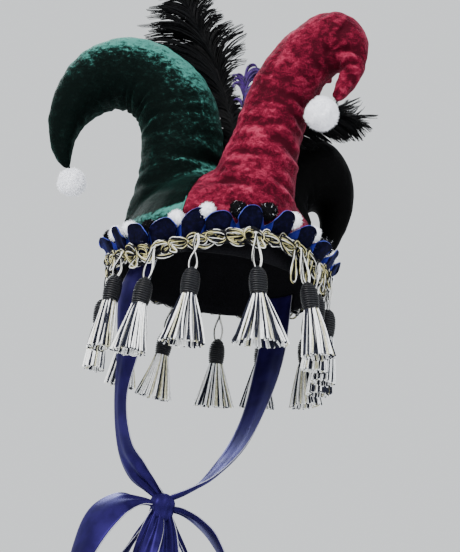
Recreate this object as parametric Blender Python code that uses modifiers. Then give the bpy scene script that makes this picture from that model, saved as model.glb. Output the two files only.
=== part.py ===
"""Clown hat: three stuffed velvet horns on a soft cap, with trimmed rim, feathers and ribbon ties.

Metres, +Z up. The rim lies level at Z = 0 round the origin, and the hat's shown side faces -Y.
"""
import math

import bmesh
import bpy
from mathutils import Matrix, Vector
from mathutils.bvhtree import BVHTree

MM = 0.001
SEAT_GAP = 0.3 * MM

# Cap lining: half axes and height of its outer face
CAP_HALF_WIDTH = 88 * MM
CAP_HALF_DEPTH = 96 * MM
CAP_HEIGHT = 86 * MM
CAP_WALL = 2.5 * MM
CAP_RIM_Z = -14 * MM
CAP_SEGMENTS = 26
DOME_RINGS = 6

# Horns: the velvet panel at each horn's foot is as thick as PANEL_OUT past the lining
PANEL_OUT = 3 * MM
PANEL_FOOT_Z = 3 * MM
PANEL_STEPS = 9
HORN_SIDES = 16
HORN_SEAM_GAP = 0.5 * MM
SEAM_RED_GREEN = 246
SEAM_RED_BLACK = 352
SEAM_BLACK_GREEN = 118
TIP_POMPOM_TUFTS = 0.05
TIP_POMPOM_RADIUS = {"green": 12.6 * MM, "red": 14.4 * MM, "black": 12.6 * MM}

# Horn sections. lean: tilt of the section from level, in degrees towards +X.
# crease: how far its inner side is pinched in.
HORN_COLUMNS = ("x", "y", "z", "width", "lean", "crease")
GREEN_SECTIONS = (
    (-47, 3, 8, 82, 0, 0), (-47, 3, 22, 87, 0, 0), (-46, 3, 38, 89, -2, 0), (-45, 2, 56, 86, -6, 0),
    (-44, 1, 71, 84, -11, 0), (-43.5, 1, 86, 82, -15, 0), (-45, 0, 105, 80, -19, 0),
    (-48.5, 0, 127, 77, -19, 0.03), (-54.5, 0, 147, 75.5, -26, 0), (-64, 1, 162, 74, -37, 0.05),
    (-76, 2, 172, 72.5, -48, 0), (-89, 3, 179, 72.5, -60, 0.05), (-102, 4, 182, 72, -73, 0),
    (-115, 5, 182, 70.5, -86, 0.04), (-127, 6, 177, 67.5, -97, 0), (-137.5, 7, 170, 65, -105, 0.03),
    (-147, 8, 160, 59, -113, 0), (-154.5, 8, 145, 50, -124, 0), (-158, 8, 130, 41.5, -134, 0),
    (-158.5, 8, 114, 32.5, -146, 0), (-156.5, 8, 101, 25.5, -156, 0), (-152.5, 8, 90, 18, -164, 0),
    (-149.5, 8, 84, 12, -172, 0),
)
RED_SECTIONS = (
    (18, -46, 8, 86, 0, 0), (18, -48, 22, 91, 0, 0), (18, -50, 37, 91, 3, 0), (21, -52, 54, 81, 4, 0),
    (23.5, -54, 70, 73, 5, 0.04), (26.5, -56, 89, 67, 4, 0), (29.5, -58, 106, 62.5, 4, 0.05),
    (32.5, -60, 124, 60, 6, 0), (36.5, -62, 141, 59.5, 8, 0.07), (42.5, -65, 158, 60, 14, 0),
    (49.5, -68, 171.5, 59, 22, 0.1), (57.5, -72, 182, 57.5, 34, 0), (65.5, -76, 190, 56.5, 50, 0.12),
    (73, -80, 195, 55.5, 65, 0.02), (80.5, -83, 197, 53, 80, 0.12), (87.5, -85, 195.5, 48.5, 95, 0),
    (92.5, -87, 191, 42.5, 110, 0.1), (96, -88, 184, 36.5, 126, 0), (97, -88, 174.5, 31, 143, 0.06),
    (95.5, -88, 163.5, 26, 157, 0), (91.5, -88, 152.5, 20.5, 170, 0), (86.5, -88, 143.5, 15, 190, 0),
    (83, -88, 138.5, 10, 206, 0),
)
BLACK_SECTIONS = (
    (33, 36, 8, 80, 0, 0), (34, 37, 22, 86, 0, 0), (36, 39, 42, 88, 3, 0), (39, 42, 58, 86, 7, 0),
    (42, 45, 73, 84, 14, 0), (48, 50, 93, 80, 33, 0), (58, 55, 112, 78, 60, 0.03),
    (70.5, 59, 121.5, 77, 83, 0), (81, 62, 124.5, 74, 95, 0.04), (89.5, 64, 124, 68, 105, 0),
    (95.5, 66, 120, 60, 115, 0.03), (101, 68, 113, 50.5, 130, 0), (104.5, 70, 103, 42, 145, 0),
    (105.5, 70, 90, 34.5, 159, 0), (104.5, 71, 77, 28.5, 168, 0), (102.5, 72, 65, 22, 173, 0),
    (100.5, 73, 53, 16, 175, 0), (99, 74, 43, 11, 177, 0),
)

# Braid: height of its centre line at each azimuth, as the trim wanders up and down round the rim
BRAID_LINE = (
    (0, -3), (30, -6), (90, -6), (135, -6), (180, -8), (208, -13), (232, -19), (248, -12),
    (262, -5), (272, -2), (286, 2), (300, 4), (315, 1), (330, -3), (346, -3),
)
BRAID_OUT = 9 * MM
BRAID_HALF_WIDTH = 4.6 * MM
BRAID_HALF_HEIGHT = 5.2 * MM
BRAID_LINKS = 46
BRAID_SIDES = 5
BRAID_SHIFT = 0.5 * MM

# Ruche: one tongue of ribbon stands out between each two rim pompoms
TONGUES = 24
TONGUE_PHASE = 262
RUCHE_SAMPLES = 6
RUCHE_THICKNESS = 1.3 * MM
RUCHE_INNER_OUT = 4.2 * MM
RUCHE_FOOT_WAVE = 2.9 * MM
RUCHE_TOP_WAVE = 5.3 * MM
RUCHE_POCKET = 2.8
RUCHE_ROUND = 1.1
RUCHE_DIP_HEIGHT = 13 * MM
RUCHE_TONGUE_HEIGHT = 24.5 * MM
RIM_POMPOM_RADIUS = 6.5 * MM
RIM_POMPOM_COLOURS = "WBBWWBWBWBWBWBWBWBWBWWBW"

# Tassels: where each hangs on the braid, how it leans, its skirt's half width and its loop's length
TASSEL_COLUMNS = ("azimuth", "splay", "sideways", "spread", "loop")
TASSELS = (
    (216, 6, 0, 14, 22), (238, 7, -2, 16, 28), (259, 5, 0, 19, 30), (286, 5, 7, 24, 30),
    (312, 12, 8, 17, 31), (326, 1, 5, 15, 29), (345, 1, 1, 16, 31), (9, 1, 2, 17, 30),
    (34, 4, -3, 19, 31), (61, 6, 2, 18, 29), (87, 6, -2, 19, 30), (113, 5, 3, 18, 30),
    (140, 2, -2, 17, 29), (168, 0, 0, 14, 26),
)
TASSEL_SIDES = 8
TASSEL_LOOP_STEPS = 6
TASSEL_LOOP_WIDTH = 3.2 * MM
TASSEL_CORD_RADIUS = 1.1 * MM
# Tassel profile: depth below the loop's foot and radius; the skirt's last rows take the spread
TASSEL_HEAD = ((0, 3.2), (2.5, 6.2), (8, 8), (21, 7.6), (23.5, 6.8))
TASSEL_SKIRT_LENGTH = 41 * MM
TASSEL_LOCK = 0.12
# Each tassel starts this far out from the braid's middle, then moves in until it is seated
START_OUT = 25 * MM

# Ribbons. across: direction of the ribbon's width. cup: how far its middle bows out.
RIBBON_THICKNESS = 1.2 * MM
RIBBON_COLUMNS = ("x", "y", "z", "width", "across_azimuth", "across_pitch", "cup")
TIE_TOP = 1
TIE_LEFT = (
    (-62.7, -57.5, TIE_TOP, 38, -53, 0, -2.3), (-62.7, -57.5, -17, 38, -53, 0, -2.3),
    (-69, -51, -46, 37, -46, 0, -4), (-67, -44, -84, 35, -52, 0, -5),
    (-68, -34, -130, 34, -68, 0, -4), (-60.5, -25, -168, 34, -66, 0, -3),
    (-48, -22, -188, 28, -58, 20, -2), (-36, -21, -199, 18, -40, 20, -1),
    (-26, -20, -208, 11, -20, 0, 0),
)
TIE_RIGHT = (
    (57.9, 63.2, TIE_TOP, 38, 132.5, 0, -2.3), (57.9, 63.2, -17, 38, 132.5, 0, -2.3),
    (57, 60, -55, 37, 130, 0, -3), (49, 47, -105, 36, 125, 0, -4),
    (35, 29, -148, 35, 120, 0, -4), (14, 9, -182, 28, 115, 0, -2),
    (-4, -8, -199, 18, 110, 0, -1), (-19, -18, -209, 11, 100, 0, 0),
)
KNOT_CENTRE = (-23, -20, -217)
KNOT_HALF_SIZE = (11, 10, 12)
LOOP_LEFT = (
    (-27, -20, -216, 9, 90, 10, 0), (-40, -21, -214, 20, 90, 25, 2), (-56, -25, -217, 34, 90, 40, 4),
    (-72, -29, -231, 39, 90, 42, 4), (-85, -31, -254, 39, 90, 36, 3), (-92, -28, -282, 39, 90, 20, 3),
    (-86, -18, -302, 39, 90, 0, 3), (-72, -10, -298, 39, 90, -8, 3), (-58, -9, -272, 36, 90, -8, 3),
    (-44, -12, -245, 22, 90, 0, 1), (-31, -18, -226, 9, 90, 0, 0),
)
LOOP_RIGHT = (
    (-18, -18, -217, 9, 90, 0, 0), (-6, -14, -217, 18, 90, 0, 2), (9, -8, -223, 34, 90, 0, 4),
    (24, -1, -235, 39, 90, 0, 4), (38, 4, -256, 39, 90, 0, 3), (45, 8, -282, 39, 90, 0, 3),
    (38, 12, -302, 39, 90, 0, 3), (24, 13, -296, 39, 90, 0, 3), (12, 8, -272, 36, 90, 0, 3),
    (-2, -3, -246, 20, 90, 0, 1), (-14, -12, -226, 9, 90, 0, 0),
)
TAIL_LEFT = (
    (-26, -25, -221, 10, 0, 0, 0), (-28, -29, -237, 19, -25, 0, -2), (-32, -32, -262, 28, -45, 0, -3),
    (-35, -31, -292, 35, -52, 0, -4), (-39, -28, -322, 38, -52, 0, -3), (-42, -26, -348, 38, -50, 0, -2),
)
TAIL_RIGHT = (
    (-19, -22, -222, 10, 0, 0, 0), (-15, -24, -238, 17, 20, 0, 2), (-11, -25, -264, 26, 45, 0, 3),
    (-7, -22, -294, 35, 52, 0, 4), (-3, -19, -326, 38, 52, 0, 3), (0, -17, -356, 38, 50, 0, 2),
)

# Feathers. half: half width of the vane, thick: its thickness at the shaft, lean: tilt towards +X.
FEATHER_COLUMNS = ("x", "y", "z", "half", "thick", "lean")
TALL_PLUME = (
    (5, 4, 88.8, 2, 3, 0), (4, 9, 106, 2.4, 3.4, -5), (1, 22, 132, 4, 4.5, -8), (-3, 38, 158, 8, 6, -14),
    (-10, 50, 181, 12, 8, -20), (-18, 58, 204, 10, 8, -20), (-28, 61, 231, 11, 7, -22),
    (-35, 62, 245, 34, 8, -24), (-44, 63, 260, 48, 8, -26), (-54, 64, 278, 46, 8, -28),
    (-65, 65, 296, 40, 7, -32), (-77, 66, 313, 33, 6, -38), (-90, 67, 327, 25, 5, -50),
    (-104, 68, 335, 14, 4, -68), (-115, 68, 336, 4, 3, -85),
)
RIGHT_PLUME = (
    (12, 1, 88.2, 2, 3, 5), (14, -3, 104, 2.4, 3.4, 18), (22, -6, 122, 4, 4, 32), (38, -3, 142, 8, 6, 42),
    (56, 8, 159, 13, 7, 50), (74, 22, 171, 18, 8, 60), (92, 38, 178, 21, 8, 72), (107, 51, 182, 20, 7, 78),
    (120, 60, 185, 15, 6, 78), (130, 66, 187, 9, 5, 80), (136, 70, 188, 4, 3, 80),
)
FEATHER_LOCK = 0.16
FEATHER_STEPS = 2

# Violet tuft: a bound foot and curled strips that fan out of it
TUFT_FOOT = ((6, -7), (5, -3), (5, 0))
TUFT_FOOT_Z = (89, 128, 172)
TUFT_FOOT_RADIUS = 2.6 * MM
TUFT_STEPS = 6
TUFT_STRIP_RADIUS = 1.5 * MM
# Each strip: starting lean, length, curl and how far it drifts back along Y
TUFT_STRIPS = ((-24, 28, -2.6, 2), (-4, 42, 1.4, 5), (9, 38, 2.2, -5), (27, 27, 3.0, -1))


def clear_scene():
    for thing in list(bpy.data.objects):
        bpy.data.objects.remove(thing, do_unlink=True)


def new_collection(name):
    collection = bpy.data.collections.new(name)
    bpy.context.scene.collection.children.link(collection)
    return collection


def finish(name, colour, roughness, metallic=0.0):
    """A plain material of one colour, for one sub-part."""
    material = bpy.data.materials.new(name)
    material.use_nodes = True
    shader = material.node_tree.nodes["Principled BSDF"]
    shader.inputs["Base Color"].default_value = (*colour, 1.0)
    shader.inputs["Roughness"].default_value = roughness
    shader.inputs["Metallic"].default_value = metallic
    material.diffuse_color = (*colour, 1.0)
    return material


def add_object(name, mesh, material=None, collection=None):
    thing = bpy.data.objects.new(name, mesh)
    (collection or parts).objects.link(thing)
    if material:
        mesh.materials.clear()
        mesh.materials.append(material)
    return thing


def as_cutter(thing):
    thing.hide_render = True
    thing.display_type = "WIRE"
    return thing


def rows_of(table, columns):
    return [dict(zip(columns, row)) for row in table]


def smooth_rows(rows, steps):
    """The rows of a table with steps - 1 rows added between each two, on a Catmull-Rom curve."""
    result = []
    last = len(rows) - 1
    for index in range(last):
        near = [rows[max(index - 1, 0)], rows[index], rows[index + 1], rows[min(index + 2, last)]]
        for step in range(steps):
            t = step / steps
            weights = (
                (-t + 2 * t ** 2 - t ** 3) / 2,
                (2 - 5 * t ** 2 + 3 * t ** 3) / 2,
                (t + 4 * t ** 2 - 3 * t ** 3) / 2,
                (-t ** 2 + t ** 3) / 2,
            )
            result.append({key: sum(w * row[key] for w, row in zip(weights, near)) for key in rows[0]})
    result.append(dict(rows[last]))
    return result


def place(row):
    return Vector((row["x"], row["y"], row["z"])) * MM


def rim_point(azimuth, out, z):
    """A point that lies OUT past the cap's outer face, at an azimuth in degrees."""
    angle = math.radians(azimuth)
    return Vector((
        (CAP_HALF_WIDTH + out) * math.cos(angle),
        (CAP_HALF_DEPTH + out) * math.sin(angle),
        z,
    ))


def braid_height(azimuth):
    """The braid's centre height at an azimuth, eased between the rows of BRAID_LINE."""
    azimuth %= 360
    closed = BRAID_LINE + ((360 + BRAID_LINE[0][0], BRAID_LINE[0][1]),)
    for (start, low), (end, high) in zip(closed, closed[1:]):
        if start <= azimuth <= end:
            share = (azimuth - start) / (end - start)
            eased = (1 - math.cos(math.pi * share)) / 2
            return (low + (high - low) * eased) * MM
    raise ValueError("azimuth off the braid line")


def bridge(work, rings, closed_path=False):
    """Quads between each ring of vertices and the next."""
    pairs = list(zip(rings, rings[1:]))
    if closed_path:
        pairs.append((rings[-1], rings[0]))
    for lower, upper in pairs:
        count = len(lower)
        for index in range(count):
            following = (index + 1) % count
            work.faces.new((lower[index], lower[following], upper[following], upper[index]))


def cap_end(work, ring, point):
    """A fan of triangles that closes a ring at a point."""
    centre = work.verts.new(point)
    for index, vertex in enumerate(ring):
        work.faces.new((vertex, ring[(index + 1) % len(ring)], centre))


def mesh_from(work, name):
    bmesh.ops.recalc_face_normals(work, faces=work.faces)
    mesh = bpy.data.meshes.new(name)
    work.to_mesh(mesh)
    work.free()
    mesh.shade_smooth()
    mesh.set_sharp_from_angle(angle=math.radians(50))
    return mesh


def loft(name, rings, start=None, end=None, closed_path=False):
    """A closed solid through rings of points, with a fan over each end."""
    work = bmesh.new()
    verts = [[work.verts.new(point) for point in ring] for ring in rings]
    bridge(work, verts, closed_path)
    if not closed_path:
        middle = [sum(ring, Vector()) / len(ring) for ring in (rings[0], rings[-1])]
        cap_end(work, verts[0], start or middle[0])
        cap_end(work, verts[-1], end or middle[1])
    return mesh_from(work, name)


def solid_mesh(thing):
    """The evaluated mesh of an object, placed, as a mesh of its own; the object is removed."""
    depsgraph = bpy.context.evaluated_depsgraph_get()
    mesh = bpy.data.meshes.new_from_object(thing.evaluated_get(depsgraph))
    mesh.transform(thing.matrix_world)
    work = bmesh.new()
    work.from_mesh(mesh)
    bmesh.ops.remove_doubles(work, verts=work.verts, dist=0.02 * MM)
    work.to_mesh(mesh)
    work.free()
    bpy.data.objects.remove(thing, do_unlink=True)
    return mesh


def cut(thing, cutter):
    modifier = thing.modifiers.new("seat", "BOOLEAN")
    modifier.operation = "DIFFERENCE"
    modifier.object = cutter


def fused(name, meshes):
    """One mesh from several closed ones that meet."""
    first = add_object(name, meshes[0], collection=cutters)
    others = [as_cutter(add_object(name + "_add", mesh, collection=cutters)) for mesh in meshes[1:]]
    for other in others:
        modifier = first.modifiers.new("join", "BOOLEAN")
        modifier.operation = "UNION"
        modifier.object = other
    bpy.context.view_layer.update()
    mesh = solid_mesh(first)
    for other in others:
        bpy.data.objects.remove(other, do_unlink=True)
    return mesh


def wire_mesh(name, points, radius, cyclic=False):
    """A round cord through points, as a mesh."""
    curve = bpy.data.curves.new(name, "CURVE")
    curve.dimensions = "3D"
    curve.bevel_depth = radius
    curve.bevel_resolution = 0
    curve.use_fill_caps = not cyclic
    spline = curve.splines.new("POLY")
    spline.points.add(len(points) - 1)
    spline.use_cyclic_u = cyclic
    for slot, point in zip(spline.points, points):
        slot.co = (*point, 1)
    thing = add_object(name, curve, collection=cutters)
    bpy.context.view_layer.update()
    return solid_mesh(thing)


def dome_rings(grow):
    """Level rings of the cap's outer face, from the rim up, grown by a clearance."""
    rings = []
    for level in range(-1, DOME_RINGS):
        rise = max(level, 0) / DOME_RINGS * math.pi / 2
        shrink = math.cos(rise)
        z = CAP_RIM_Z if level < 0 else (CAP_HEIGHT + grow) * math.sin(rise)
        ring = []
        for segment in range(CAP_SEGMENTS):
            angle = 2 * math.pi * segment / CAP_SEGMENTS
            ring.append(Vector((
                (CAP_HALF_WIDTH + grow) * shrink * math.cos(angle),
                (CAP_HALF_DEPTH + grow) * shrink * math.sin(angle),
                z,
            )))
        rings.append(ring)
    return rings


def build_cap():
    """The black lining: an open dome with its wall turned inwards, sewn from three panels."""
    work = bmesh.new()
    verts = [[work.verts.new(point) for point in ring] for ring in dome_rings(0)]
    bridge(work, verts)
    cap_end(work, verts[-1], (0, 0, CAP_HEIGHT))
    shell = add_object("lining_shell", mesh_from(work, "lining_shell"), collection=cutters)
    wall = shell.modifiers.new("wall", "SOLIDIFY")
    wall.thickness = CAP_WALL
    wall.offset = -1
    wall.use_even_offset = True
    bpy.context.view_layer.update()
    mesh = solid_mesh(shell)
    material = finish("black_lining", (0.012, 0.012, 0.015), 0.8)
    for side, seams in (
        ("left", (SEAM_BLACK_GREEN, SEAM_RED_GREEN)),
        ("front", (SEAM_RED_GREEN, SEAM_RED_BLACK)),
        ("right", (SEAM_RED_BLACK, SEAM_BLACK_GREEN)),
    ):
        name = "cap_lining_" + side
        add_object(name, lining_panel(name, mesh, seams), material)


def lining_panel(name, shell, seams):
    """The lining's sector between two seams."""
    work = bmesh.new()
    work.from_mesh(shell)
    first, second = seams
    middle = rim_point(first + (second - first) % 360 / 2, 0, 0)
    for azimuth in seams:
        normal = seam_normal(azimuth, middle)
        found = bmesh.ops.bisect_plane(
            work,
            geom=[*work.verts, *work.edges, *work.faces],
            plane_co=normal * SEAT_GAP / 2,
            plane_no=normal,
            clear_inner=True,
        )
        edges = [item for item in found["geom_cut"] if isinstance(item, bmesh.types.BMEdge)]
        bmesh.ops.edgenet_fill(work, edges=edges)
    return mesh_from(work, name)


def cap_cutter():
    """The space that the cap takes, with its clearance, for cutting the horns' feet."""
    rings = dome_rings(SEAT_GAP)
    rings[0] = [Vector((point.x, point.y, CAP_RIM_Z - 10 * MM)) for point in rings[0]]
    mesh = loft("cap_space", rings, end=Vector((0, 0, CAP_HEIGHT + SEAT_GAP)))
    return as_cutter(add_object("cap_space", mesh, collection=cutters))


def seam_normal(azimuth, towards):
    """Unit normal of the upright seam plane at an azimuth, pointing to the side of TOWARDS."""
    angle = math.radians(azimuth)
    normal = Vector((-math.sin(angle), math.cos(angle), 0))
    return normal if normal.dot(towards) > 0 else -normal


def panel_wedge(name, seams):
    """The cap's sector between two seams, solid to its axis and as wide as the velvet panel."""
    first, second = seams
    span = (second - first) % 360
    inset = SEAT_GAP / math.sin(math.radians(span / 2))
    home = rim_point(first + span / 2, 0, 0).normalized() * inset
    outlines = []
    for level in range(DOME_RINGS + 1):
        rise = level / DOME_RINGS * math.pi / 2
        z = max(PANEL_FOOT_Z, (CAP_HEIGHT + PANEL_OUT) * math.sin(rise))
        share = math.sqrt(1 - (z / (CAP_HEIGHT + PANEL_OUT)) ** 2)
        if level == DOME_RINGS:
            outlines.append(Vector((home.x, home.y, z)))
            continue
        line = [Vector((home.x, home.y, z))]
        for step in range(PANEL_STEPS + 1):
            point = rim_point(first + span * step / PANEL_STEPS, PANEL_OUT, 0) * share
            line.append(Vector((home.x + point.x, home.y + point.y, z)))
        outlines.append(line)
    return loft(name, outlines[:-1], end=outlines[-1])


def horn_rings(sections, seams):
    """Round sections, pinched at their creases, that keep to their side of both seams."""
    rows = rows_of(sections, HORN_COLUMNS)
    normals = [seam_normal(azimuth, place(rows[0])) for azimuth in seams]
    rings = []
    for row in rows:
        centre = place(row)
        lean = math.radians(row["lean"])
        inward = 1 if row["lean"] >= 0 else -1
        across = Vector((math.cos(lean), 0, -math.sin(lean)))
        ring = []
        for side in range(HORN_SIDES):
            angle = 2 * math.pi * side / HORN_SIDES
            pinch = max(0.0, inward * math.cos(angle)) ** 2
            reach = row["width"] / 2 * MM * (1 - row["crease"] * pinch)
            point = centre + reach * (across * math.cos(angle) + Vector((0, math.sin(angle), 0)))
            for normal in normals:
                point += normal * max(0, HORN_SEAM_GAP - normal.dot(point))
            ring.append(point)
        rings.append(ring)
    return rings


def tip_direction(sections):
    rows = rows_of(sections[-2:], HORN_COLUMNS)
    return (place(rows[1]) - place(rows[0])).normalized()


def build_horn(colour_name, sections, seams, material, cap_space):
    rings = horn_rings(sections, seams)
    onward = tip_direction(sections)
    tip = place(rows_of(sections, HORN_COLUMNS)[-1]) + onward * 2.5 * MM
    name = "horn_" + colour_name
    horn = add_object(name, fused(name, [loft(name, rings, end=tip), panel_wedge(name, seams)]), material)
    cut(horn, cap_space)
    build_tip_pompom(colour_name, tip, onward)


def make_lumpy(mesh, seat):
    """Each vertex of a ball stands out or in a little, but for those on the side of its seat."""
    for index, vertex in enumerate(mesh.vertices):
        if vertex.co.normalized().dot(seat) <= 0.8:
            vertex.co *= 1 + TIP_POMPOM_TUFTS * math.sin(2.4 * index + 1.0)


def ball_mesh(name, radius, segments, rings):
    work = bmesh.new()
    bmesh.ops.create_uvsphere(work, u_segments=segments, v_segments=rings, radius=radius)
    return mesh_from(work, name)


def build_tip_pompom(colour_name, tip, onward):
    """A white pompom, sewn with its pole to the horn's tip."""
    radius = TIP_POMPOM_RADIUS[colour_name]
    name = "tip_pompom_" + colour_name
    mesh = ball_mesh(name, radius, 12, 8)
    make_lumpy(mesh, Vector((0, 0, 1)))
    pompom = add_object(name, mesh, white_wool)
    pompom.location = tip + onward * (radius + SEAT_GAP)
    pompom.rotation_euler = Vector((0, 0, 1)).rotation_difference(-onward).to_euler()


def tongue_wave(azimuth):
    """1 at the middle of a ruche tongue, -1 at the dip between two, where a pompom sits."""
    return -math.cos(math.radians((azimuth - TONGUE_PHASE) * TONGUES))


def ruche_foot(azimuth):
    return braid_height(azimuth) + BRAID_HALF_HEIGHT + SEAT_GAP


def build_ruche():
    """Velvet ribbon gathered into tongues that stand up and out round the rim."""
    work = bmesh.new()
    half = RUCHE_THICKNESS / 2
    rings = []
    steps = TONGUES * RUCHE_SAMPLES
    for step in range(steps):
        azimuth = 360 * step / steps + TONGUE_PHASE
        wave = (tongue_wave(azimuth) + 1) / 2
        share = wave ** RUCHE_POCKET
        foot = ruche_foot(azimuth)
        top = foot + RUCHE_DIP_HEIGHT + (RUCHE_TONGUE_HEIGHT - RUCHE_DIP_HEIGHT) * wave ** RUCHE_ROUND
        foot_out = RUCHE_INNER_OUT + 2 * RUCHE_FOOT_WAVE * share
        top_out = RUCHE_INNER_OUT + 2 * RUCHE_TOP_WAVE * share
        corners = (
            (foot_out - half, foot), (foot_out + half, foot),
            (top_out + half, top), (top_out - half, top),
        )
        rings.append([work.verts.new(rim_point(azimuth, out, z)) for out, z in corners])
    bridge(work, rings, closed_path=True)
    navy_velvet = finish("navy_velvet", (0.01, 0.015, 0.12), 0.6)
    add_object("ribbon_ruche", mesh_from(work, "ribbon_ruche"), navy_velvet)


def build_rim_pompoms():
    """A pompom in each dip of the ruche, against the velvet."""
    black_wool = finish("black_tinsel_wool", (0.015, 0.015, 0.018), 0.7)
    mesh = {}
    for letter in "WB":
        mesh[letter] = ball_mesh("rim_pompom_" + letter, RIM_POMPOM_RADIUS, 8, 4)
    half = RUCHE_THICKNESS / 2
    out = PANEL_OUT + SEAT_GAP + RIM_POMPOM_RADIUS
    beside = out - (RUCHE_INNER_OUT + half)
    lift = math.sqrt(RIM_POMPOM_RADIUS ** 2 - beside ** 2)
    for index, letter in enumerate(RIM_POMPOM_COLOURS):
        azimuth = TONGUE_PHASE + 360 / TONGUES * index
        z = ruche_foot(azimuth) + RUCHE_DIP_HEIGHT + lift + 2 * SEAT_GAP
        material = white_wool if letter == "W" else black_wool
        pompom = add_object("rim_pompom_%02d" % (index + 1), mesh[letter], material)
        pompom.location = rim_point(azimuth, out, z)
        pompom.rotation_euler = (0, 0, math.radians(azimuth))


def build_braid():
    """The cord braid: one thick ring, swelling once at each link."""
    rings = []
    steps = BRAID_LINKS * 2
    for step in range(steps):
        azimuth = 360 * step / steps
        swell = 1.0 if step % 2 else 0.82
        shift = BRAID_SHIFT * math.sin(math.pi / 2 * step)
        ring = []
        for side in range(BRAID_SIDES):
            angle = 2 * math.pi * (side + 0.25) / BRAID_SIDES
            out = BRAID_OUT + BRAID_HALF_WIDTH * swell * math.cos(angle) + shift
            z = braid_height(azimuth) + BRAID_HALF_HEIGHT * swell * math.sin(angle)
            ring.append(rim_point(azimuth, out, z))
        rings.append(ring)
    mesh = loft("braid_trim", rings, closed_path=True)
    return add_object("braid_trim", mesh, finish("braid_cord", (0.45, 0.44, 0.36), 0.7))


def tassel_mesh(spread, loop_length):
    """Loop, wound head and a skirt of locks, hanging down -Z from the loop's top."""
    rings = []
    rows = [(loop_length + depth * MM, radius * MM, 1.0, 0.0) for depth, radius in TASSEL_HEAD]
    skirt_top = rows[-1][0]
    rows.append((skirt_top + TASSEL_SKIRT_LENGTH * 0.45, spread * 0.66, 0.8, TASSEL_LOCK / 2))
    rows.append((skirt_top + TASSEL_SKIRT_LENGTH, spread, 0.62, TASSEL_LOCK))
    for depth, radius, flat, lock in rows:
        ring = []
        for side in range(TASSEL_SIDES):
            angle = 2 * math.pi * side / TASSEL_SIDES
            reach = radius * (1 + (lock if side % 2 else -lock))
            ring.append(Vector((reach * math.cos(angle), reach * flat * math.sin(angle), -depth)))
        rings.append(ring)
    body = loft("tassel_body", rings)
    loop = []
    half = loop_length / 2
    for step in range(TASSEL_LOOP_STEPS):
        angle = 2 * math.pi * step / TASSEL_LOOP_STEPS
        drop = half * (1 - math.cos(angle)) + TASSEL_CORD_RADIUS
        loop.append((TASSEL_LOOP_WIDTH * math.sin(angle), 0, -drop))
    return fused("tassel", [body, wire_mesh("tassel_loop", loop, TASSEL_CORD_RADIUS, cyclic=True)])


def placed_points(thing, matrix):
    return [matrix @ vertex.co for vertex in thing.data.vertices]


def travel(thing, matrix, way, fixed):
    """How far an object, placed by a matrix, moves along WAY before it meets a fixed object."""
    faces = [[tuple(face.vertices) for face in body.data.polygons] for body in (thing, fixed)]
    points = [placed_points(thing, matrix), placed_points(fixed, Matrix())]
    reach = START_OUT
    for source, target, heading in ((0, 1, way), (1, 0, -way)):
        tree = BVHTree.FromPolygons(points[target], faces[target])
        for point in points[source]:
            distance = tree.ray_cast(point, heading, START_OUT)[3]
            if distance is not None:
                reach = min(reach, distance)
    return reach


def build_tassels(braid):
    """Each tassel's loop hangs before the braid, from the middle of its height."""
    material = finish("tassel_thread", (0.5, 0.5, 0.47), 0.75)
    for index, row in enumerate(rows_of(TASSELS, TASSEL_COLUMNS)):
        name = "tassel_%02d" % (index + 1)
        tassel = add_object(name, tassel_mesh(row["spread"] * MM, row["loop"] * MM), material)
        azimuth = row["azimuth"]
        turn = Matrix.Rotation(math.radians(azimuth + 90), 4, "Z")
        splay = Matrix.Rotation(-math.radians(row["splay"]), 4, "X")
        sideways = Matrix.Rotation(-math.radians(row["sideways"]), 4, "Y")
        inward = turn @ Vector((0, 1, 0))
        middle = rim_point(azimuth, BRAID_OUT, braid_height(azimuth) + TASSEL_CORD_RADIUS)
        placed = Matrix.Translation(middle - inward * START_OUT) @ turn @ splay @ sideways
        onward = travel(tassel, placed, inward, braid) - SEAT_GAP
        tassel.matrix_world = Matrix.Translation(inward * onward) @ placed


def ribbon_mesh(name, table, steps=1, segments=4):
    """A bowed strip through the rows of a table, given its thickness by a Solidify modifier."""
    rows = smooth_rows(rows_of(table, RIBBON_COLUMNS), steps)
    work = bmesh.new()
    grid = []
    for index, row in enumerate(rows):
        ahead = place(rows[min(index + 1, len(rows) - 1)]) - place(rows[max(index - 1, 0)])
        ahead.normalize()
        azimuth = math.radians(row["across_azimuth"])
        pitch = math.radians(row["across_pitch"])
        across = Vector((
            math.cos(pitch) * math.cos(azimuth),
            math.cos(pitch) * math.sin(azimuth),
            math.sin(pitch),
        ))
        across = (across - ahead * across.dot(ahead)).normalized()
        facing = across.cross(ahead)
        line = []
        for segment in range(segments + 1):
            s = 2 * segment / segments - 1
            bow = row["cup"] * MM * (1 - s * s)
            line.append(work.verts.new(place(row) + across * s * row["width"] / 2 * MM + facing * bow))
        grid.append(line)
    for lower, upper in zip(grid, grid[1:]):
        for index in range(segments):
            work.faces.new((lower[index], lower[index + 1], upper[index + 1], upper[index]))
    return mesh_from(work, name)


def build_ribbon(name, table, material, cutter, steps=1, segments=4):
    ribbon = add_object(name, ribbon_mesh(name, table, steps, segments), material)
    wall = ribbon.modifiers.new("thickness", "SOLIDIFY")
    wall.thickness = RIBBON_THICKNESS
    wall.offset = 0
    wall.use_even_offset = True
    cut(ribbon, cutter)


def knot_mesh(name, grow):
    work = bmesh.new()
    bmesh.ops.create_uvsphere(work, u_segments=12, v_segments=8, radius=1.0)
    size = [half * MM + grow for half in KNOT_HALF_SIZE]
    for vertex in work.verts:
        fold = 1 + 0.06 * math.cos(4 * math.atan2(vertex.co.y, vertex.co.x))
        local = Vector((vertex.co.x * size[0] * fold, vertex.co.y * size[1] * fold, vertex.co.z * size[2]))
        vertex.co = local + Vector(KNOT_CENTRE) * MM
    return mesh_from(work, name)


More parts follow.
